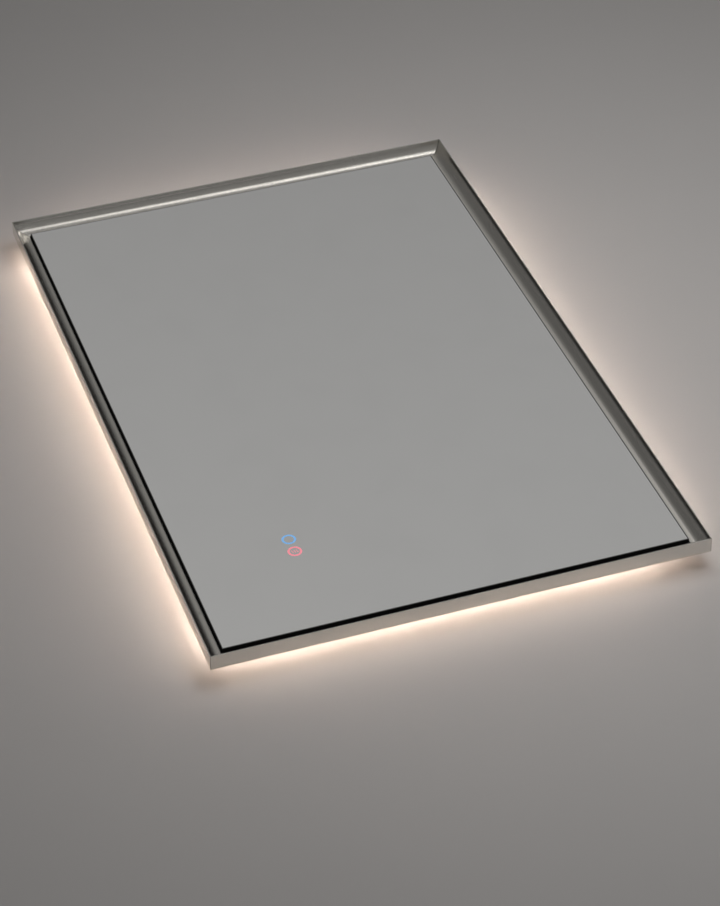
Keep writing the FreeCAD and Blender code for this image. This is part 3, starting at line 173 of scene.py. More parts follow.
def make_lines():
    tree, given, gives = group(
        "drawn_lines",
        [("Vector", "Vector", None), ("Stretch", "Vector", (1, 1, 1)), ("Pitch mm", "Float", 0.4)],
        [("Tone", "Float"), ("Height", "Float")],
    )
    scaled = add(tree, "VectorMath", operation="MULTIPLY")
    lines = add(tree, "TexNoise", Detail=3.0, Roughness=0.6)
    bands = add(tree, "TexNoise", Detail=1.0)
    join(tree, (given["Vector"], scaled.inputs[0]), (given["Stretch"], scaled.inputs[1]))
    join(tree, (scaled.outputs[0], lines.inputs["Vector"]), (scaled.outputs[0], bands.inputs["Vector"]))
    scale = maths(tree, "DIVIDE", 1000, given["Pitch mm"])
    join(tree, (scale, lines.inputs["Scale"]), (maths(tree, "MULTIPLY", scale, 0.1), bands.inputs["Scale"]))
    fine_part = maths(tree, "MULTIPLY", lines.outputs[0], 0.7)
    broad_part = maths(tree, "MULTIPLY", bands.outputs[0], 0.3)
    join(tree, (maths(tree, "ADD", fine_part, broad_part), gives["Tone"]), (lines.outputs[0], gives["Height"]))
    return tree


LINES = make_lines()
print("group:", LINES.name)

# %% Rubbed edges


def make_edges():
    tree, given, gives = group(
        "rubbed_edges",
        [("Vector", "Vector", None), ("Reach mm", "Float", 0.5), ("Patchy", "Float", 0.5)],
        [("Mask", "Float")],
    )
    rounded = add(tree, "Bevel", samples=4)
    flat = add(tree, "NewGeometry")
    across = add(tree, "VectorMath", operation="DOT_PRODUCT")
    patches = add(tree, "TexNoise", Scale=90.0, Detail=3.0)
    join(tree, (maths(tree, "MULTIPLY", given["Reach mm"], MM), rounded.inputs["Radius"]))
    join(tree, (rounded.outputs[0], across.inputs[0]), (flat.outputs["True Normal"], across.inputs[1]))
    join(tree, (given["Vector"], patches.inputs["Vector"]))
    edge = ramp(tree, across.outputs["Value"], 0.995, 0.85)
    missing = maths(tree, "MULTIPLY", given["Patchy"], ramp(tree, patches.outputs[0], 0.4, 0.6))
    join(tree, (maths(tree, "MULTIPLY", edge, maths(tree, "SUBTRACT", 1, missing)), gives["Mask"]))
    return tree


EDGES = make_edges()
print("group:", EDGES.name)

# %% Dust on what faces up


def make_dust():
    tree, given, gives = group(
        "settled_dust",
        [("Vector", "Vector", None), ("Amount", "Float", 0.3)],
        [("Mask", "Float")],
    )
    flat = add(tree, "NewGeometry")
    parts = add(tree, "SeparateXYZ")
    clumps = add(tree, "TexNoise", Scale=140.0, Detail=5.0, Roughness=0.7)
    join(tree, (flat.outputs["Normal"], parts.inputs[0]), (given["Vector"], clumps.inputs["Vector"]))
    up = ramp(tree, parts.outputs["Z"], 0.4, 1.0)
    patchy = ramp(tree, clumps.outputs[0], 0.35, 0.75, 0.3, 1.0)
    join(tree, (maths(tree, "MULTIPLY", maths(tree, "MULTIPLY", up, patchy), given["Amount"]), gives["Mask"]))
    return tree


DUST = make_dust()
print("group:", DUST.name)

# %% Faint smears


def make_smears():
    tree, given, gives = group("smears", [("Vector", "Vector", None)], [("Mask", "Float")])
    bent = add(tree, "TexNoise", Scale=6.0, Detail=2.0)
    pushed = add(tree, "VectorMath", operation="MULTIPLY_ADD")
    pushed.inputs[1].default_value = (0.05, 0.05, 0.05)
    wiped = add(tree, "TexNoise", Scale=14.0, Detail=4.0, Roughness=0.55)
    join(tree, (given["Vector"], bent.inputs["Vector"]), (bent.outputs["Color"], pushed.inputs[0]))
    join(tree, (given["Vector"], pushed.inputs[2]), (pushed.outputs[0], wiped.inputs["Vector"]))
    join(tree, (ramp(tree, wiped.outputs[0], 0.45, 0.7), gives["Mask"]))
    return tree


SMEARS = make_smears()
print("group:", SMEARS.name)

# %% [markdown]
# ## A finish and where it goes
# A material starts from Object coordinates, which on these pieces are metres in the room's own frame, so a
# pattern has its real size and runs on from one piece to the next. `paint` puts a material on every slot of a piece.

# %% Finish helpers


class Finish:
    """A material with its shader, and its object coordinates ready to plug in."""

    def __init__(self, name, metallic=0.0, roughness=0.5, **sockets):
        self.material = bpy.data.materials.new(name)
        self.material.use_nodes = True
        self.tree = self.material.node_tree
        self.shader = self.tree.nodes["Principled BSDF"]
        self.shader.inputs["Metallic"].default_value = metallic
        self.shader.inputs["Roughness"].default_value = roughness
        for socket, value in sockets.items():
            self.shader.inputs[socket.replace("_", " ")].default_value = value
        self.place = add(self.tree, "TexCoord").outputs["Object"]

    def use(self, effect, **values):
        """A shared effect, placed in this material."""
        made = self.tree.nodes.new("ShaderNodeGroup")
        made.node_tree = effect
        for name, value in values.items():
            made.inputs[name.replace("_", " ")].default_value = value
        join(self.tree, (self.place, made.inputs["Vector"]))
        return made.outputs

    def feed(self, socket, value):
        join(self.tree, (value, self.shader.inputs[socket]))

    def bump(self, height, depth_mm, strength=1.0):
        made = add(self.tree, "Bump", Strength=strength, Distance=depth_mm * MM)
        join(self.tree, (height, made.inputs["Height"]), (made.outputs[0], self.shader.inputs["Normal"]))
        return made

    def paint(self, *names):
        for name in names:
            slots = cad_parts[name].data.materials
            slots.clear()
            slots.append(self.material)
        print(self.material.name, "->", ", ".join(names))


SIDES = ("left", "top", "right", "bottom")
ALONG_UP = (1, 1, 0.006)  # stretches a pattern along an upright piece
ALONG_ACROSS = (0.006, 1, 1)  # and along a level one

# %% [markdown]
# ## The frame's satin metal
# The bars are drawn through a die and brushed along their length, so each has fine lines that run its own way, and
# they meet at a mitre that shows as a hair line. Lines that are too deep would smear the crisp reflection of a lamp
# in the cove, so they stay shallow and mostly change the gloss. Upright and level bars differ only in the stretch.

# %% Frame metal
FRAME_LOW, FRAME_HIGH = Vector(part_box("frame_left")[0]), Vector(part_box("frame_right")[1])
MIDDLE_UP = (FRAME_LOW.z + FRAME_HIGH.z) / 2
HALF_WIDE = (FRAME_HIGH.x - FRAME_LOW.x) / 2
HALF_HIGH = (FRAME_HIGH.z - FRAME_LOW.z) / 2
HAIR_LINE = (0.2 * MM, 0.5 * MM)  # half a mitre's dark line, and where it has faded
ROUNDED = 0.8 * MM  # the drawn edges, as the light sees them


def mitre_line(finish):
    """A mask of the hair line where two bars meet, along each corner's diagonal."""
    tree = finish.tree
    parts = add(tree, "SeparateXYZ")
    join(tree, (finish.place, parts.inputs[0]))
    across = maths(tree, "SUBTRACT", HALF_WIDE, maths(tree, "ABSOLUTE", parts.outputs["X"]))
    up = maths(tree, "ABSOLUTE", maths(tree, "SUBTRACT", parts.outputs["Z"], MIDDLE_UP))
    along = maths(tree, "SUBTRACT", HALF_HIGH, up)
    apart = maths(tree, "ABSOLUTE", maths(tree, "SUBTRACT", across, along))
    return ramp(tree, apart, *HAIR_LINE, 1.0, 0.0)


def frame_metal(name, stretch):
    finish = Finish(name, metallic=1.0, roughness=0.2)
    lines = finish.use(LINES, Stretch=stretch, Pitch_mm=0.5)
    smears = finish.use(SMEARS)
    worn = finish.use(EDGES, Reach_mm=0.35, Patchy=0.6)
    dust = finish.use(DUST, Amount=0.25)
    tree = finish.tree
    metal = blend_colours(tree, lines["Tone"], (0.76, 0.740, 0.695), (0.81, 0.785, 0.74))
    metal = blend_colours(tree, maths(tree, "MULTIPLY", worn["Mask"], 0.5), metal, (0.84, 0.83, 0.79))
    metal = blend_colours(tree, mitre_line(finish), metal, (0.10, 0.10, 0.10))
    metal = blend_colours(tree, dust["Mask"], metal, (0.55, 0.53, 0.50))
    gloss = ramp(tree, lines["Tone"], 0.3, 0.7, 0.22, 0.26)
    gloss = maths(tree, "ADD", gloss, maths(tree, "MULTIPLY", smears["Mask"], 0.025))
    gloss = maths(tree, "ADD", gloss, maths(tree, "MULTIPLY", dust["Mask"], 0.4))
    finish.feed("Base Color", metal)
    finish.feed("Roughness", gloss)
    rounding = add(tree, "Bevel", samples=4, Radius=ROUNDED)
    scratches = finish.bump(lines["Height"], 0.002)
    join(tree, (rounding.outputs[0], scratches.inputs["Normal"]))
    return finish


frame_metal("frame_metal_upright", ALONG_UP).paint("frame_left", "frame_right")
frame_metal("frame_metal_level", ALONG_ACROSS).paint("frame_top", "frame_bottom")

# %% [markdown]
# ## The pane
# The silver lies behind the glass, so the face is all but perfectly smooth, and only wiping leaves a trace in its
# gloss. The ground edge has no silver behind it and shows the glass's own green. A see-through pane with silver
# behind it would be true as well, but it is slow to render and looks the same from in front.

# %% Mirror glass


def mirror_finish():
    finish = Finish("mirror_glass", metallic=0.90, roughness=0.0)
    smears = finish.use(SMEARS)
    tree = finish.tree
    facing = add(tree, "SeparateXYZ")
    join(tree, (add(tree, "NewGeometry").outputs["Normal"], facing.inputs[0]))
    flat = maths(tree, "ABSOLUTE", facing.outputs["Y"])
    edge = ramp(tree, flat, 0.5, 0.9, 1.0, 0.0)
    silver = blend_colours(tree, smears["Mask"], (0.90, 0.905, 0.90), (0.885, 0.89, 0.885))
    finish.feed("Base Color", blend_colours(tree, edge, silver, (0.020, 0.032, 0.028)))
    wiped = maths(tree, "MULTIPLY", smears["Mask"], 0.03)
    finish.feed("Roughness", maths(tree, "ADD", wiped, maths(tree, "MULTIPLY", edge, 0.3)))
    return finish


mirror_finish().paint("mirror_glass")

# %% [markdown]
# ## The lit rings
# The silver is etched away in the shape of each mark, and a small lamp behind shines through the frosted glass.
# The glow is even, so it is a plain emission, and the frosting gives it a fine speckle in its own colour.

# %% Lit marks


def lit_mark(name, colour, strength, node):
    finish = Finish(name, roughness=0.35, Emission_Strength=strength)
    finish.shader.inputs["Emission Color"].default_value = (*colour, 1)
    frosting = finish.use(GRAIN, Size_mm=0.3, Roughen=0.7)
    pale = [0.75 * v for v in colour]
    finish.feed("Base Color", blend_colours(finish.tree, frosting["Tone"], pale, colour))
    finish.bump(frosting["Height"], 0.01)
    finish.paint(node)


lit_mark("light_mark", (0.16, 0.35, 0.62), 0.5, "light_symbol")
lit_mark("demister_mark", (0.70, 0.22, 0.26), 0.55, "demister_symbol")

# %% [markdown]
# ## The diffusers
# Each strip shines through an opal cover, which evens out its single chips. It is the only lamp that the object
# has, and the whole halo on the wall comes from these four covers, so their strength is set by that halo.

# %% Opal covers
GLOW = (1.0, 0.81, 0.69)
GLOW_STRENGTH = {"left": 86.0, "top": 84.0, "right": 78.0, "bottom": 46.0}


def opal(side):
    finish = Finish("opal_cover_" + side, roughness=0.45, Emission_Strength=GLOW_STRENGTH[side])
    finish.shader.inputs["Emission Color"].default_value = (*GLOW, 1)
    lines = finish.use(LINES, Stretch=(0.05, 1, 0.05), Pitch_mm=0.8)
    finish.feed("Base Color", blend_colours(finish.tree, lines["Tone"], (0.82, 0.80, 0.76), (0.90, 0.88, 0.85)))
    finish.bump(lines["Height"], 0.01)
    return finish


for side in SIDES:
    opal(side).paint("led_diffuser_" + side)

# %% [markdown]
# ## Rubber and foam
# The black line round the pane is a rubber angle, and the buffers and the cable's sleeve are the same rubber. It is
# matt, with a bloom that greys it unevenly. The angle and the sleeve are painted near black, far darker than rubber,
# as painted shade of the gap round the pane. The foam tape has open cells of about half a millimetre.

# %% Rubber and foam


def rubber(name, dark, bloom, shine):
    finish = Finish(name, roughness=0.75, Specular_IOR_Level=shine)
    grain = finish.use(GRAIN, Size_mm=0.4, Roughen=0.6)
    dust = finish.use(DUST, Amount=0.35)
    tree = finish.tree
    colour = blend_colours(tree, ramp(tree, grain["Tone"], 0.4, 0.7), dark, bloom)
    finish.feed("Base Color", blend_colours(tree, dust["Mask"], colour, [0.02 + 3 * v for v in bloom]))
    finish.feed("Roughness", ramp(tree, grain["Tone"], 0.3, 0.7, 0.62, 0.85))
    finish.bump(grain["Height"], 0.03)
    return finish


def foam():
    finish = Finish("foam_tape", roughness=0.9)
    cells = add(finish.tree, "TexVoronoi", Scale=1800.0)
    join(finish.tree, (finish.place, cells.inputs["Vector"]))
    # The cells' hollows are painted darker, as painted shade, and the same mask sets their depth.
    pit_and_painted_shade = ramp(finish.tree, cells.outputs["Distance"], 0.1, 0.6)
    finish.feed("Base Color", blend_colours(finish.tree, pit_and_painted_shade, (0.42, 0.42, 0.40), (0.80, 0.80, 0.77)))
    finish.bump(pit_and_painted_shade, 0.15)
    return finish


# The angle and the sleeve get near-black rubber: painted shade of the gap round the pane.
rubber("black_rubber_and_gap_shade", (0.002, 0.002, 0.002), (0.005, 0.005, 0.005), 0.15).paint("edge_gasket", "cable_grommet")
rubber("buffer_rubber", (0.022, 0.022, 0.022), (0.055, 0.055, 0.052), 0.4).paint("bumpers")
foam().paint("bond_tape")

# %% [markdown]
# ## Painted and coated sheet
# The tray is folded from sheet and powder coated: white, with an orange-peel skin a few millimetres across and rubbed
# folds. The rail and its hook are galvanised, and zinc grows in crystals, the spangle, that each shine differently.

# %% Tray paint


def powder_coat():
    finish = Finish("tray_paint", roughness=0.4)
    peel = finish.use(GRAIN, Size_mm=2.2, Roughen=0.35)
    worn = finish.use(EDGES, Reach_mm=0.6, Patchy=1.0)
    dust = finish.use(DUST, Amount=0.4)
    tree = finish.tree
    white = blend_colours(tree, peel["Tone"], (0.74, 0.74, 0.72), (0.80, 0.80, 0.78))
    white = blend_colours(tree, maths(tree, "MULTIPLY", worn["Mask"], 0.35), white, (0.50, 0.49, 0.46))
    finish.feed("Base Color", blend_colours(tree, dust["Mask"], white, (0.48, 0.46, 0.42)))
    finish.feed("Roughness", ramp(tree, peel["Tone"], 0.3, 0.7, 0.34, 0.46))
    finish.bump(peel["Height"], 0.05)
    return finish


powder_coat().paint("chassis_tray")

# %% Galvanised sheet


def galvanised():
    finish = Finish("rail_steel", metallic=1.0, roughness=0.4)
    crystals = add(finish.tree, "TexVoronoi", Scale=140.0, Randomness=1.0)
    join(finish.tree, (finish.place, crystals.inputs["Vector"]))
    shade = add(finish.tree, "SeparateColor")
    join(finish.tree, (crystals.outputs["Color"], shade.inputs[0]))
    lines = finish.use(LINES, Stretch=(0.02, 1, 1), Pitch_mm=0.8)
    worn = finish.use(EDGES, Reach_mm=0.4, Patchy=0.4)
    tree = finish.tree
    zinc = blend_colours(tree, shade.outputs[0], (0.42, 0.43, 0.45), (0.62, 0.63, 0.65))
    zinc = blend_colours(tree, maths(tree, "MULTIPLY", lines["Tone"], 0.3), zinc, (0.52, 0.52, 0.53))
    finish.feed("Base Color", blend_colours(tree, worn["Mask"], zinc, (0.74, 0.74, 0.75)))
    finish.feed("Roughness", ramp(tree, shade.outputs[1], 0.0, 1.0, 0.28, 0.50))
    finish.bump(lines["Height"], 0.006)
    return finish


galvanised().paint("wall_rail", "hook_rail")

# %% [markdown]
# ## Small bright metal
# Screws and rivets are zinc plated, faintly yellow and blue in patches.
# The corner keys and the light channels are plain drawn metal with the die's lines along them.

# %% Plated and drawn metal


def plated(name, reach):
    finish = Finish(name, metallic=1.0, roughness=0.3)
    film = add(finish.tree, "TexNoise", Scale=260.0, Detail=2.0)
    join(finish.tree, (finish.place, film.inputs["Vector"]))
    grain = finish.use(GRAIN, Size_mm=0.15, Roughen=0.6)
    worn = finish.use(EDGES, Reach_mm=reach, Patchy=0.3)
    tree = finish.tree
    colour = blend_colours(tree, ramp(tree, film.outputs[0], 0.35, 0.65), (0.56, 0.58, 0.62), (0.66, 0.64, 0.56))
    finish.feed("Base Color", blend_colours(tree, worn["Mask"], colour, (0.80, 0.80, 0.80)))
    finish.feed("Roughness", ramp(tree, grain["Tone"], 0.3, 0.7, 0.22, 0.42))
    finish.bump(grain["Height"], 0.006)
    return finish


def drawn_metal(name, stretch, dull, bright):
    finish = Finish(name, metallic=1.0, roughness=0.35)
    lines = finish.use(LINES, Stretch=stretch, Pitch_mm=0.35)
    tree = finish.tree
    finish.feed("Base Color", blend_colours(tree, lines["Tone"], dull, bright))
    finish.feed("Roughness", ramp(tree, lines["Tone"], 0.3, 0.7, 0.28, 0.42))
    finish.bump(lines["Height"], 0.008)
    return finish


SCREWS = ("tray_screws", "corner_key_screws", "driver_screws", "terminal_lid_screws", "earth_stud")
CHANNEL_TONES = ((0.66, 0.66, 0.67), (0.78, 0.78, 0.79))
plated("screw_steel", 0.3).paint(*SCREWS)
plated("rivet_steel", 0.2).paint("hook_rivets")
drawn_metal("key_metal", (0.02, 1, 0.02), (0.58, 0.58, 0.59), (0.72, 0.72, 0.73)).paint("corner_keys")
drawn_metal("channel_upright", ALONG_UP, *CHANNEL_TONES).paint("led_channel_left", "led_channel_right")
drawn_metal("channel_level", ALONG_ACROSS, *CHANNEL_TONES).paint("led_channel_top", "led_channel_bottom")

# %% [markdown]
# ## Moulded plastics
# A mould is spark-eroded so that its plastic comes out with a fine matt grain, and its corners polish with handling.
# One recipe serves every moulded piece, with its own colour, grain and gloss.

# %% Moulded plastics


def moulded(name, colour, grain_mm=0.35, gloss=0.5, depth_mm=0.02):
    finish = Finish(name, roughness=gloss)
    grain = finish.use(GRAIN, Size_mm=grain_mm, Roughen=0.55)
    worn = finish.use(EDGES, Reach_mm=0.3, Patchy=0.7)
    dust = finish.use(DUST, Amount=0.2)
    tree = finish.tree
    darker, lighter = [0.90 * v for v in colour], [min(1.0, 1.06 * v) for v in colour]
    rubbed = [min(0.9, 0.05 + 1.15 * v) for v in colour]
    shade = blend_colours(tree, grain["Tone"], darker, lighter)
    shade = blend_colours(tree, maths(tree, "MULTIPLY", worn["Mask"], 0.5), shade, rubbed)
    finish.feed("Base Color", blend_colours(tree, dust["Mask"], shade, (0.42, 0.40, 0.37)))
    finish.feed("Roughness", ramp(tree, grain["Tone"], 0.3, 0.7, gloss - 0.07, gloss + 0.08))
    finish.bump(grain["Height"], depth_mm)
    return finish


moulded("switch_case", (0.05, 0.05, 0.05)).paint("touch_case_light", "touch_case_demister")
moulded("driver_case", (0.78, 0.78, 0.77), 0.5, 0.45).paint("driver_case", "driver_cover")
moulded("terminal_plastic", (0.66, 0.66, 0.64), 0.45, 0.5).paint("terminal_box", "terminal_lid")
moulded("terminal_block", (0.80, 0.79, 0.73), 0.25, 0.35, 0.01).paint("terminal_block")
moulded("splitter_plastic", (0.05, 0.05, 0.05), 0.5, 0.55).paint("lead_splitter")
moulded("contact_plastic", (0.03, 0.03, 0.03), 0.3, 0.45).paint("demister_contact")
moulded("clip_plastic", (0.80, 0.80, 0.76), 0.3, 0.4, 0.01).paint("lead_clips")

# %% [markdown]
# ## Leads
# The leads are round sheaths of soft plastic that run fixed inside the tray. Their gloss varies along them where the
# machine that drew them gripped, and the earth lead is green with a yellow stripe that winds round it.

# %% Lead sheaths


def sheath(name, colour):
    finish = Finish(name, roughness=0.4)
    grain = finish.use(GRAIN, Size_mm=0.8, Roughen=0.4)
    dust = finish.use(DUST, Amount=0.25)
    tree = finish.tree
    shade = blend_colours(tree, grain["Tone"], [0.92 * v for v in colour], colour)
    finish.feed("Base Color", blend_colours(tree, dust["Mask"], shade, (0.40, 0.38, 0.35)))
    finish.feed("Roughness", ramp(tree, grain["Tone"], 0.3, 0.7, 0.33, 0.48))
    finish.bump(grain["Height"], 0.01)
    return finish, shade


def striped_sheath():
    finish, shade = sheath("earth_sheath", (0.10, 0.36, 0.08))
    stripe = add(finish.tree, "TexWave", wave_type="BANDS", bands_direction="DIAGONAL", Scale=60.0)
    join(finish.tree, (finish.place, stripe.inputs["Vector"]))
    mask = ramp(finish.tree, stripe.outputs[0], 0.55, 0.6)
    finish.feed("Base Color", blend_colours(finish.tree, mask, shade, (0.72, 0.60, 0.06)))
    return finish


OTHER_FINISH = ("lead_earth", "lead_splitter", "lead_clips")
LEADS = [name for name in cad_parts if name.startswith("lead_") and name not in OTHER_FINISH]
sheath("lead_sheath", (0.80, 0.80, 0.79))[0].paint(*sorted(LEADS))
striped_sheath().paint("lead_earth")

# %% [markdown]
# ## Films and boards
# A safety film holds the pane together if it breaks; a printed heating film clears mist from its middle, and its
# tracks run to and fro. The boards are green or white lacquer over copper, and the light strip carries a chip with a
# yellow lens every few centimetres, which are told from the board by their place along it.

# %% Films


def safety_film():
    finish = Finish("safety_film", roughness=0.5)
    weave = add(finish.tree, "TexChecker", Scale=700.0)
    join(finish.tree, (finish.place, weave.inputs["Vector"]))
    weave.inputs["Color1"].default_value = (0.15, 0.17, 0.20, 1)
    weave.inputs["Color2"].default_value = (0.19, 0.21, 0.24, 1)
    grain = finish.use(GRAIN, Size_mm=6.0, Roughen=0.5)
    finish.feed("Base Color", blend_colours(finish.tree, grain["Tone"], weave.outputs["Color"], (0.16, 0.18, 0.21)))
    finish.bump(grain["Height"], 0.05)
    return finish


def heating_film():
    finish = Finish("heating_film", roughness=0.3)
    tracks = add(finish.tree, "TexWave", wave_type="BANDS", bands_direction="X", Scale=26.0)
    join(finish.tree, (finish.place, tracks.inputs["Vector"]))
    grain = finish.use(GRAIN, Size_mm=1.5, Roughen=0.5)
    tree = finish.tree
    copper = ramp(tree, tracks.outputs[0], 0.62, 0.68)
    amber = blend_colours(tree, grain["Tone"], (0.50, 0.24, 0.04), (0.62, 0.32, 0.07))
    finish.feed("Base Color", blend_colours(tree, copper, amber, (0.45, 0.16, 0.07)))
    finish.feed("Metallic", maths(tree, "MULTIPLY", copper, 0.6))
    finish.bump(copper, 0.03)
    return finish


safety_film().paint("backing_film")
heating_film().paint("demister_pad")

# %% Boards


def lacquer_board(name):
    finish = Finish(name, roughness=0.35)
    tracks = add(finish.tree, "TexBrick", Scale=1.0, Mortar_Size=0.0003, Brick_Width=0.0065, Row_Height=0.0024)
    turned = add(finish.tree, "VectorRotate", rotation_type="X_AXIS", Angle=math.radians(90))
    join(finish.tree, (finish.place, turned.inputs["Vector"]), (turned.outputs[0], tracks.inputs["Vector"]))
    grain = finish.use(GRAIN, Size_mm=0.5, Roughen=0.5)
    tree = finish.tree
    green = blend_colours(tree, grain["Tone"], (0.015, 0.11, 0.045), (0.025, 0.15, 0.06))
    finish.feed("Base Color", blend_colours(tree, tracks.outputs["Fac"], green, (0.05, 0.22, 0.08)))
    finish.bump(tracks.outputs["Fac"], 0.03)
    return finish


def strip_board(name, along):
    """White lacquer, with the chips' yellow lenses on the face that looks out."""
    finish = Finish(name, roughness=0.4)
    tree = finish.tree
    parts = add(tree, "SeparateXYZ")
    join(tree, (finish.place, parts.inputs[0]))
    grain = finish.use(GRAIN, Size_mm=0.6, Roughen=0.5)
    beat = maths(tree, "PINGPONG", parts.outputs[along], 0.02)
    lens = ramp(tree, beat, 0.0178, 0.0182)
    white = blend_colours(tree, grain["Tone"], (0.74, 0.74, 0.71), (0.82, 0.82, 0.80))
    finish.feed("Base Color", blend_colours(tree, lens, white, (0.85, 0.62, 0.14)))
    finish.bump(grain["Height"], 0.01)
    return finish


lacquer_board("switch_board").paint("touch_board_light", "touch_board_demister")
lacquer_board("driver_board").paint("driver_board")
strip_board("strip_upright", "Z").paint("led_strip_left", "led_strip_right")
strip_board("strip_level", "X").paint("led_strip_top", "led_strip_bottom")


def is_bare(piece):
    slots = piece.data.materials
    return not slots or not slots[0].use_nodes


print("nodes left without a finish:", [name for name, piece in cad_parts.items() if is_bare(piece)])

# %% [markdown]
# ## The wall and the floor
# The wall is one large plane that the halo falls on, of a matt paint with a roller's fine stipple. It is solid from
# the room's side only, so that a camera behind it sees the mirror's back. The tray's back stands 8 mm off the wall
# and would be black there, so the wall also lets its light through: it is clear to reflected rays shorter than
# 18 mm, which only the tray's back and the rail send. The pale floor lies far below. The bright metal doesn't mirror
# it, because the bars in the photograph face a room that is darker than such a floor.

# %% Wall and floor
NEAR_BACK = 18 * MM
WALL_COLOUR = (0.330, 0.318, 0.310)
FLOOR_COLOUR = (0.62, 0.61, 0.59)
FLOOR_SHOWN = 0.22
FLOOR_UP = -3.6
HALF_ROOM = 6.0


def flat_sheet(name, centre, half_size, turn):
    """A large square plane in the room."""
    shape = bmesh.new()
    bmesh.ops.create_grid(shape, x_segments=1, y_segments=1, size=half_size)
    place = Matrix.Translation(centre) @ turn.to_4x4()
    bmesh.ops.transform(shape, matrix=place, verts=shape.verts)
    mesh = bpy.data.meshes.new(name)
    shape.to_mesh(mesh)
    shape.free()
    sheet = bpy.data.objects.new(name, mesh)
    bpy.context.scene.collection.objects.link(sheet)
    return sheet


def one_sided(finish):
    """The finish from in front, and nothing from behind or for what stands close by."""
    tree = finish.tree
    behind = add(tree, "NewGeometry").outputs["Backfacing"]
    path = add(tree, "LightPath").outputs
    short = maths(tree, "LESS_THAN", path["Ray Length"], NEAR_BACK)
    reflected = maths(tree, "MAXIMUM", path["Is Diffuse Ray"], path["Is Glossy Ray"])
    open_here = maths(tree, "MAXIMUM", behind, maths(tree, "MULTIPLY", reflected, short))
    clear = add(tree, "BsdfTransparent").outputs[0]
    mix = add(tree, "MixShader")
    join(tree, (open_here, mix.inputs[0]), (finish.shader.outputs[0], mix.inputs[1]), (clear, mix.inputs[2]))
    join(tree, (mix.outputs[0], tree.nodes["Material Output"].inputs["Surface"]))


def paint_coat(name, colour):
    finish = Finish(name, roughness=0.9)
    stipple = finish.use(GRAIN, Size_mm=2.0, Roughen=0.6)
    finish.feed("Base Color", blend_colours(finish.tree, stipple["Tone"], [0.97 * v for v in colour], colour))
    finish.bump(stipple["Height"], 0.03)
    one_sided(finish)
    return finish


def shown_pale(finish, level):
    """A little of the floor's own light, for the camera alone, so that it looks pale and lights nothing."""
    finish.shader.inputs["Emission Color"].default_value = (1, 0.985, 0.965, 1)
    looked_at = add(finish.tree, "LightPath").outputs["Is Camera Ray"]
    finish.feed("Emission Strength", maths(finish.tree, "MULTIPLY", looked_at, level))


FACING_ROOM = Matrix.Rotation(math.radians(90), 3, "X")
wall = flat_sheet("wall", Vector((0, 0, 0)), HALF_ROOM, FACING_ROOM)
wall.data.materials.append(paint_coat("wall_paint", WALL_COLOUR).material)
floor = flat_sheet("floor", Vector((0, -HALF_ROOM, FLOOR_UP)), HALF_ROOM, Matrix.Identity(3))
floor_coat = paint_coat("floor_paint", FLOOR_COLOUR)
shown_pale(floor_coat, FLOOR_SHOWN)
floor.data.materials.append(floor_coat.material)
floor.visible_glossy = False
print("wall faces", wall.data.polygons[0].normal, "floor faces", floor.data.polygons[0].normal)

# %% [markdown]
# ## What the bright metal sees
# A polished or satin surface shows what stands in the room, far more than the light that falls on it. So the sky
# has two parts. Matt surfaces are lit by one even level. Metal and glass are shown a room: a broad ceiling panel
# that the pane mirrors, a window high on the left, a long soft box low in front, whose reflection is the bright
# line in the top cove, and darker walls to both sides. All of it is set by direction alone, as seen from the
# mirror, so it stays in place when the camera moves.

# %% Soft steps between directions


def fade(tree, value, low, high):
    """0 at low, 1 at high, with soft ends."""
    result = ramp(tree, value, low, high)
    result.node.interpolation_type = "SMOOTHSTEP"
    return result


def product(tree, *values):
    result = values[0]
    for value in values[1:]:
        result = maths(tree, "MULTIPLY", result, value)
    return result


def total(tree, *values):
    result = values[0]
    for value in values[1:]:
        result = maths(tree, "ADD", result, value)
    return result


def rest_of(tree, mask):
    return maths(tree, "SUBTRACT", 1, mask)


print("soft steps ready")

# %% [markdown]
# A direction is three numbers: how far across to the right, ahead into the room and up, each from -1 to 1. Every
# part of the room is a product of soft steps in these, times its brightness.

# %% The room's parts
CEILING = 0.13  # straight above the panel's band
UPPER_WALL = 0.25  # what the wall opposite gains towards its top
PANEL_FROM, PANEL_TO = 0.68, 0.82  # the panel that the pane mirrors, from its lower edge to its upper
BOX_STRENGTH = 2.8
SPOT_TOWARDS = Vector((-0.05, -0.79, 0.60)).normalized()
SPOT_EDGE, SPOT_CORE = math.cos(math.radians(9)), math.cos(math.radians(3))
SPOT_STRENGTH = 0.50


def room_level(tree, across, ahead, up):
    """The room's own brightness by direction: dim at the sides and below, brighter high in front."""
    below = ramp(tree, up, -1.0, 0.3, 0.19, 0.27)
    sides = ramp(tree, up, -0.2, 0.2, 0.17, 0.11)
    opposite = fade(tree, up, 0.765, 0.61)
    top_of_wall = fade(tree, up, 0.45, 0.66)
    front = total(tree, product(tree, below, opposite), product(tree, rest_of(tree, opposite), CEILING))
    front = total(tree, front, product(tree, top_of_wall, opposite, UPPER_WALL))
    panel = ramp(tree, up, PANEL_FROM, PANEL_TO, 0.343, 0.237)
    panel = total(tree, panel, ramp(tree, across, 0.15, 0.35, 0.036, -0.040))
    within = product(tree, fade(tree, up, 0.60, 0.69), fade(tree, across, 0.05, 0.14), fade(tree, across, 0.52, 0.38))
    front = total(tree, product(tree, front, rest_of(tree, within)), product(tree, panel, within))
    facing = product(tree, fade(tree, across, -0.5, 0.0), fade(tree, ahead, 0.2, 0.5))
    return total(tree, product(tree, front, facing), product(tree, rest_of(tree, facing), sides))


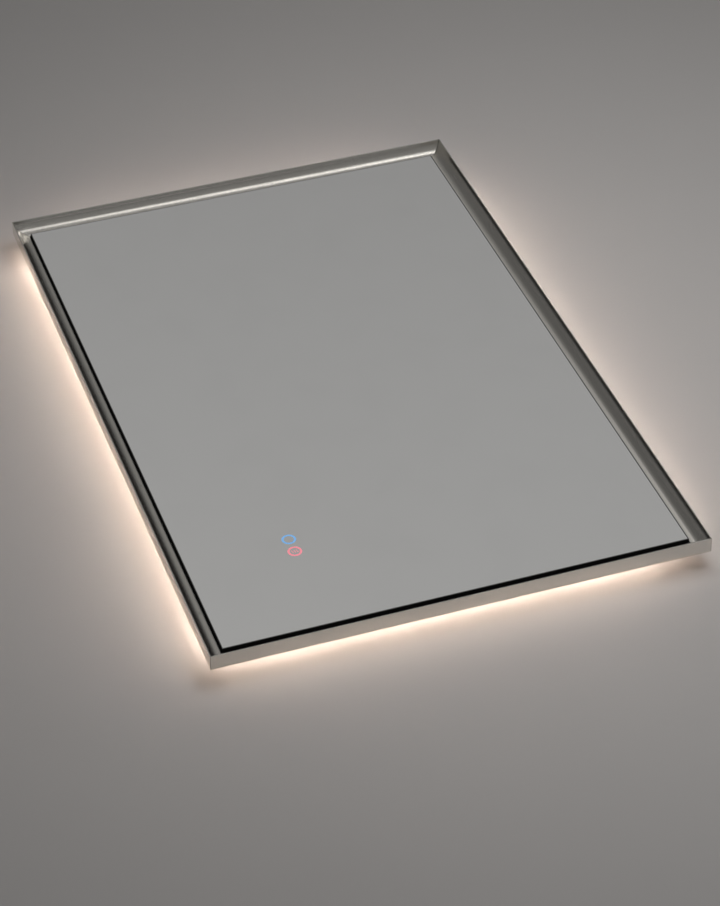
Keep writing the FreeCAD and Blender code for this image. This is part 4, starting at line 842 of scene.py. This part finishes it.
def low_soft_box(tree, across, ahead, up):
    """A long soft box that rises to the right."""
    slope = maths(tree, "MULTIPLY_ADD", across, 2.6, -0.92)
    middle = maths(tree, "MINIMUM", maths(tree, "MAXIMUM", slope, -0.36), -0.05)
    off = maths(tree, "ABSOLUTE", maths(tree, "SUBTRACT", up, middle))
    width = product(tree, fade(tree, across, 0.08, 0.24), fade(tree, across, 0.75, 0.55))
    return product(tree, fade(tree, off, 0.14, 0.03), width, fade(tree, ahead, 0.0, 0.3), BOX_STRENGTH)


def window_spot(tree, direction):
    """A small bright window, high and a little to the left."""
    near = add(tree, "VectorMath", operation="DOT_PRODUCT")
    near.inputs[1].default_value = SPOT_TOWARDS
    join(tree, (direction, near.inputs[0]))
    return product(tree, fade(tree, near.outputs["Value"], SPOT_EDGE, SPOT_CORE), SPOT_STRENGTH)


print("the window spot lies towards", [round(v, 2) for v in SPOT_TOWARDS])

# %% [markdown]
# The room is shown to rays that left metal or glass, and a plain pale backdrop to the camera's own. All other rays
# come from matt surfaces and meet the even level.

# %% Sky
SKY_LEVEL = 0.259
SKY_TINT = (1.0, 0.985, 0.965)
BACKDROP = (0.42, 0.41, 0.40)


def make_sky():
    world = bpy.data.worlds.new("studio_sky")
    bpy.context.scene.world = world
    world.use_nodes = True
    tree = world.node_tree
    sky = tree.nodes["Background"]
    direction = add(tree, "TexCoord").outputs["Generated"]
    parts = add(tree, "SeparateXYZ")
    join(tree, (direction, parts.inputs[0]))
    across, up = parts.outputs["X"], parts.outputs["Z"]
    ahead = maths(tree, "MULTIPLY", parts.outputs["Y"], -1)
    seen = total(
        tree,
        room_level(tree, across, ahead, up),
        low_soft_box(tree, across, ahead, up),
        window_spot(tree, direction),
    )
    paths = add(tree, "LightPath").outputs
    tint = add(tree, "VectorMath", operation="SCALE")
    tint.inputs[0].default_value = SKY_TINT
    join(tree, (seen, tint.inputs["Scale"]))
    shown = blend_colours(tree, paths["Is Camera Ray"], tint.outputs[0], BACKDROP)
    looks = maths(tree, "MAXIMUM", paths["Is Camera Ray"], paths["Is Glossy Ray"])
    looks = maths(tree, "MAXIMUM", looks, paths["Is Transmission Ray"])
    join(tree, (blend_colours(tree, looks, (SKY_LEVEL,) * 3, shown), sky.inputs["Color"]))
    return world


print("sky:", make_sky().name)

# %% [markdown]
# ## The room's lamp
# One broad, soft lamp stands in front of the mirror's right half. It lifts the wall there and lets it fall off to
# the corners, as in the photograph. The metal doesn't mirror it, because the sky already holds what the metal sees.

# %% Room lamp
LAMP_PLACE = Vector((0.36, -1.37, -0.41))
LAMP_AIM = Vector((0.36, 0, -0.41))
LAMP_ACROSS = 1.0
LAMP_WATTS = 15.3


def unmirrored_lamp(name, kind, watts):
    """A lamp that lights surfaces and that metal and glass don't show."""
    lamp = bpy.data.objects.new(name, bpy.data.lights.new(name, kind))
    bpy.context.scene.collection.objects.link(lamp)
    lamp.data.energy = watts
    lamp.visible_glossy = False
    return lamp


def room_lamp():
    lamp = unmirrored_lamp("room_lamp", "AREA", LAMP_WATTS)
    lamp.data.shape = "DISK"
    lamp.data.size = LAMP_ACROSS
    turn = (LAMP_AIM - LAMP_PLACE).to_track_quat("-Z", "Y").to_matrix()
    lamp.matrix_world = Matrix.Translation(LAMP_PLACE) @ turn.to_4x4()
    return lamp


print("room lamp of", round(room_lamp().data.energy, 1), "W")

# %% [markdown]
# ## The glow round the corners
# The light strips stop short of the tray's corners, but in the photograph the halo runs round them. A small warm
# lamp in the gap behind each corner carries it on. Neither the camera nor the metal sees these lamps.

# %% Corner lamps
CORNER_OUT = 14 * MM
CORNER_BALL = 8 * MM
CORNER_LAMPS = {  # in from the frame's side edge and from its end in mm, and watts
    ("left", "high"): (38, 60, 0.17),
    ("left", "low"): (40, 56, 0.16),
    ("right", "high"): (48, 48, 0.04),
    ("right", "low"): (60, 50, 0.04),
}


def corner_lamp(side, end, across_in, up_in, watts):
    lamp = unmirrored_lamp(f"corner_lamp_{side}_{end}", "POINT", watts)
    across = FRAME_LOW.x + across_in * MM if side == "left" else FRAME_HIGH.x - across_in * MM
    up = FRAME_LOW.z + up_in * MM if end == "low" else FRAME_HIGH.z - up_in * MM
    lamp.location = (across, -CORNER_OUT, up)
    lamp.data.color = GLOW
    lamp.data.shadow_soft_size = CORNER_BALL
    lamp.visible_camera = False
    return lamp


for corner, numbers in CORNER_LAMPS.items():
    print(corner_lamp(*corner, *numbers).name, "of", numbers[-1], "W")

# %% [markdown]
# ## Finish
# The picture's colours are shown with the plain Standard view transform.

# %% Colour
bpy.context.scene.view_settings.view_transform = "Standard"
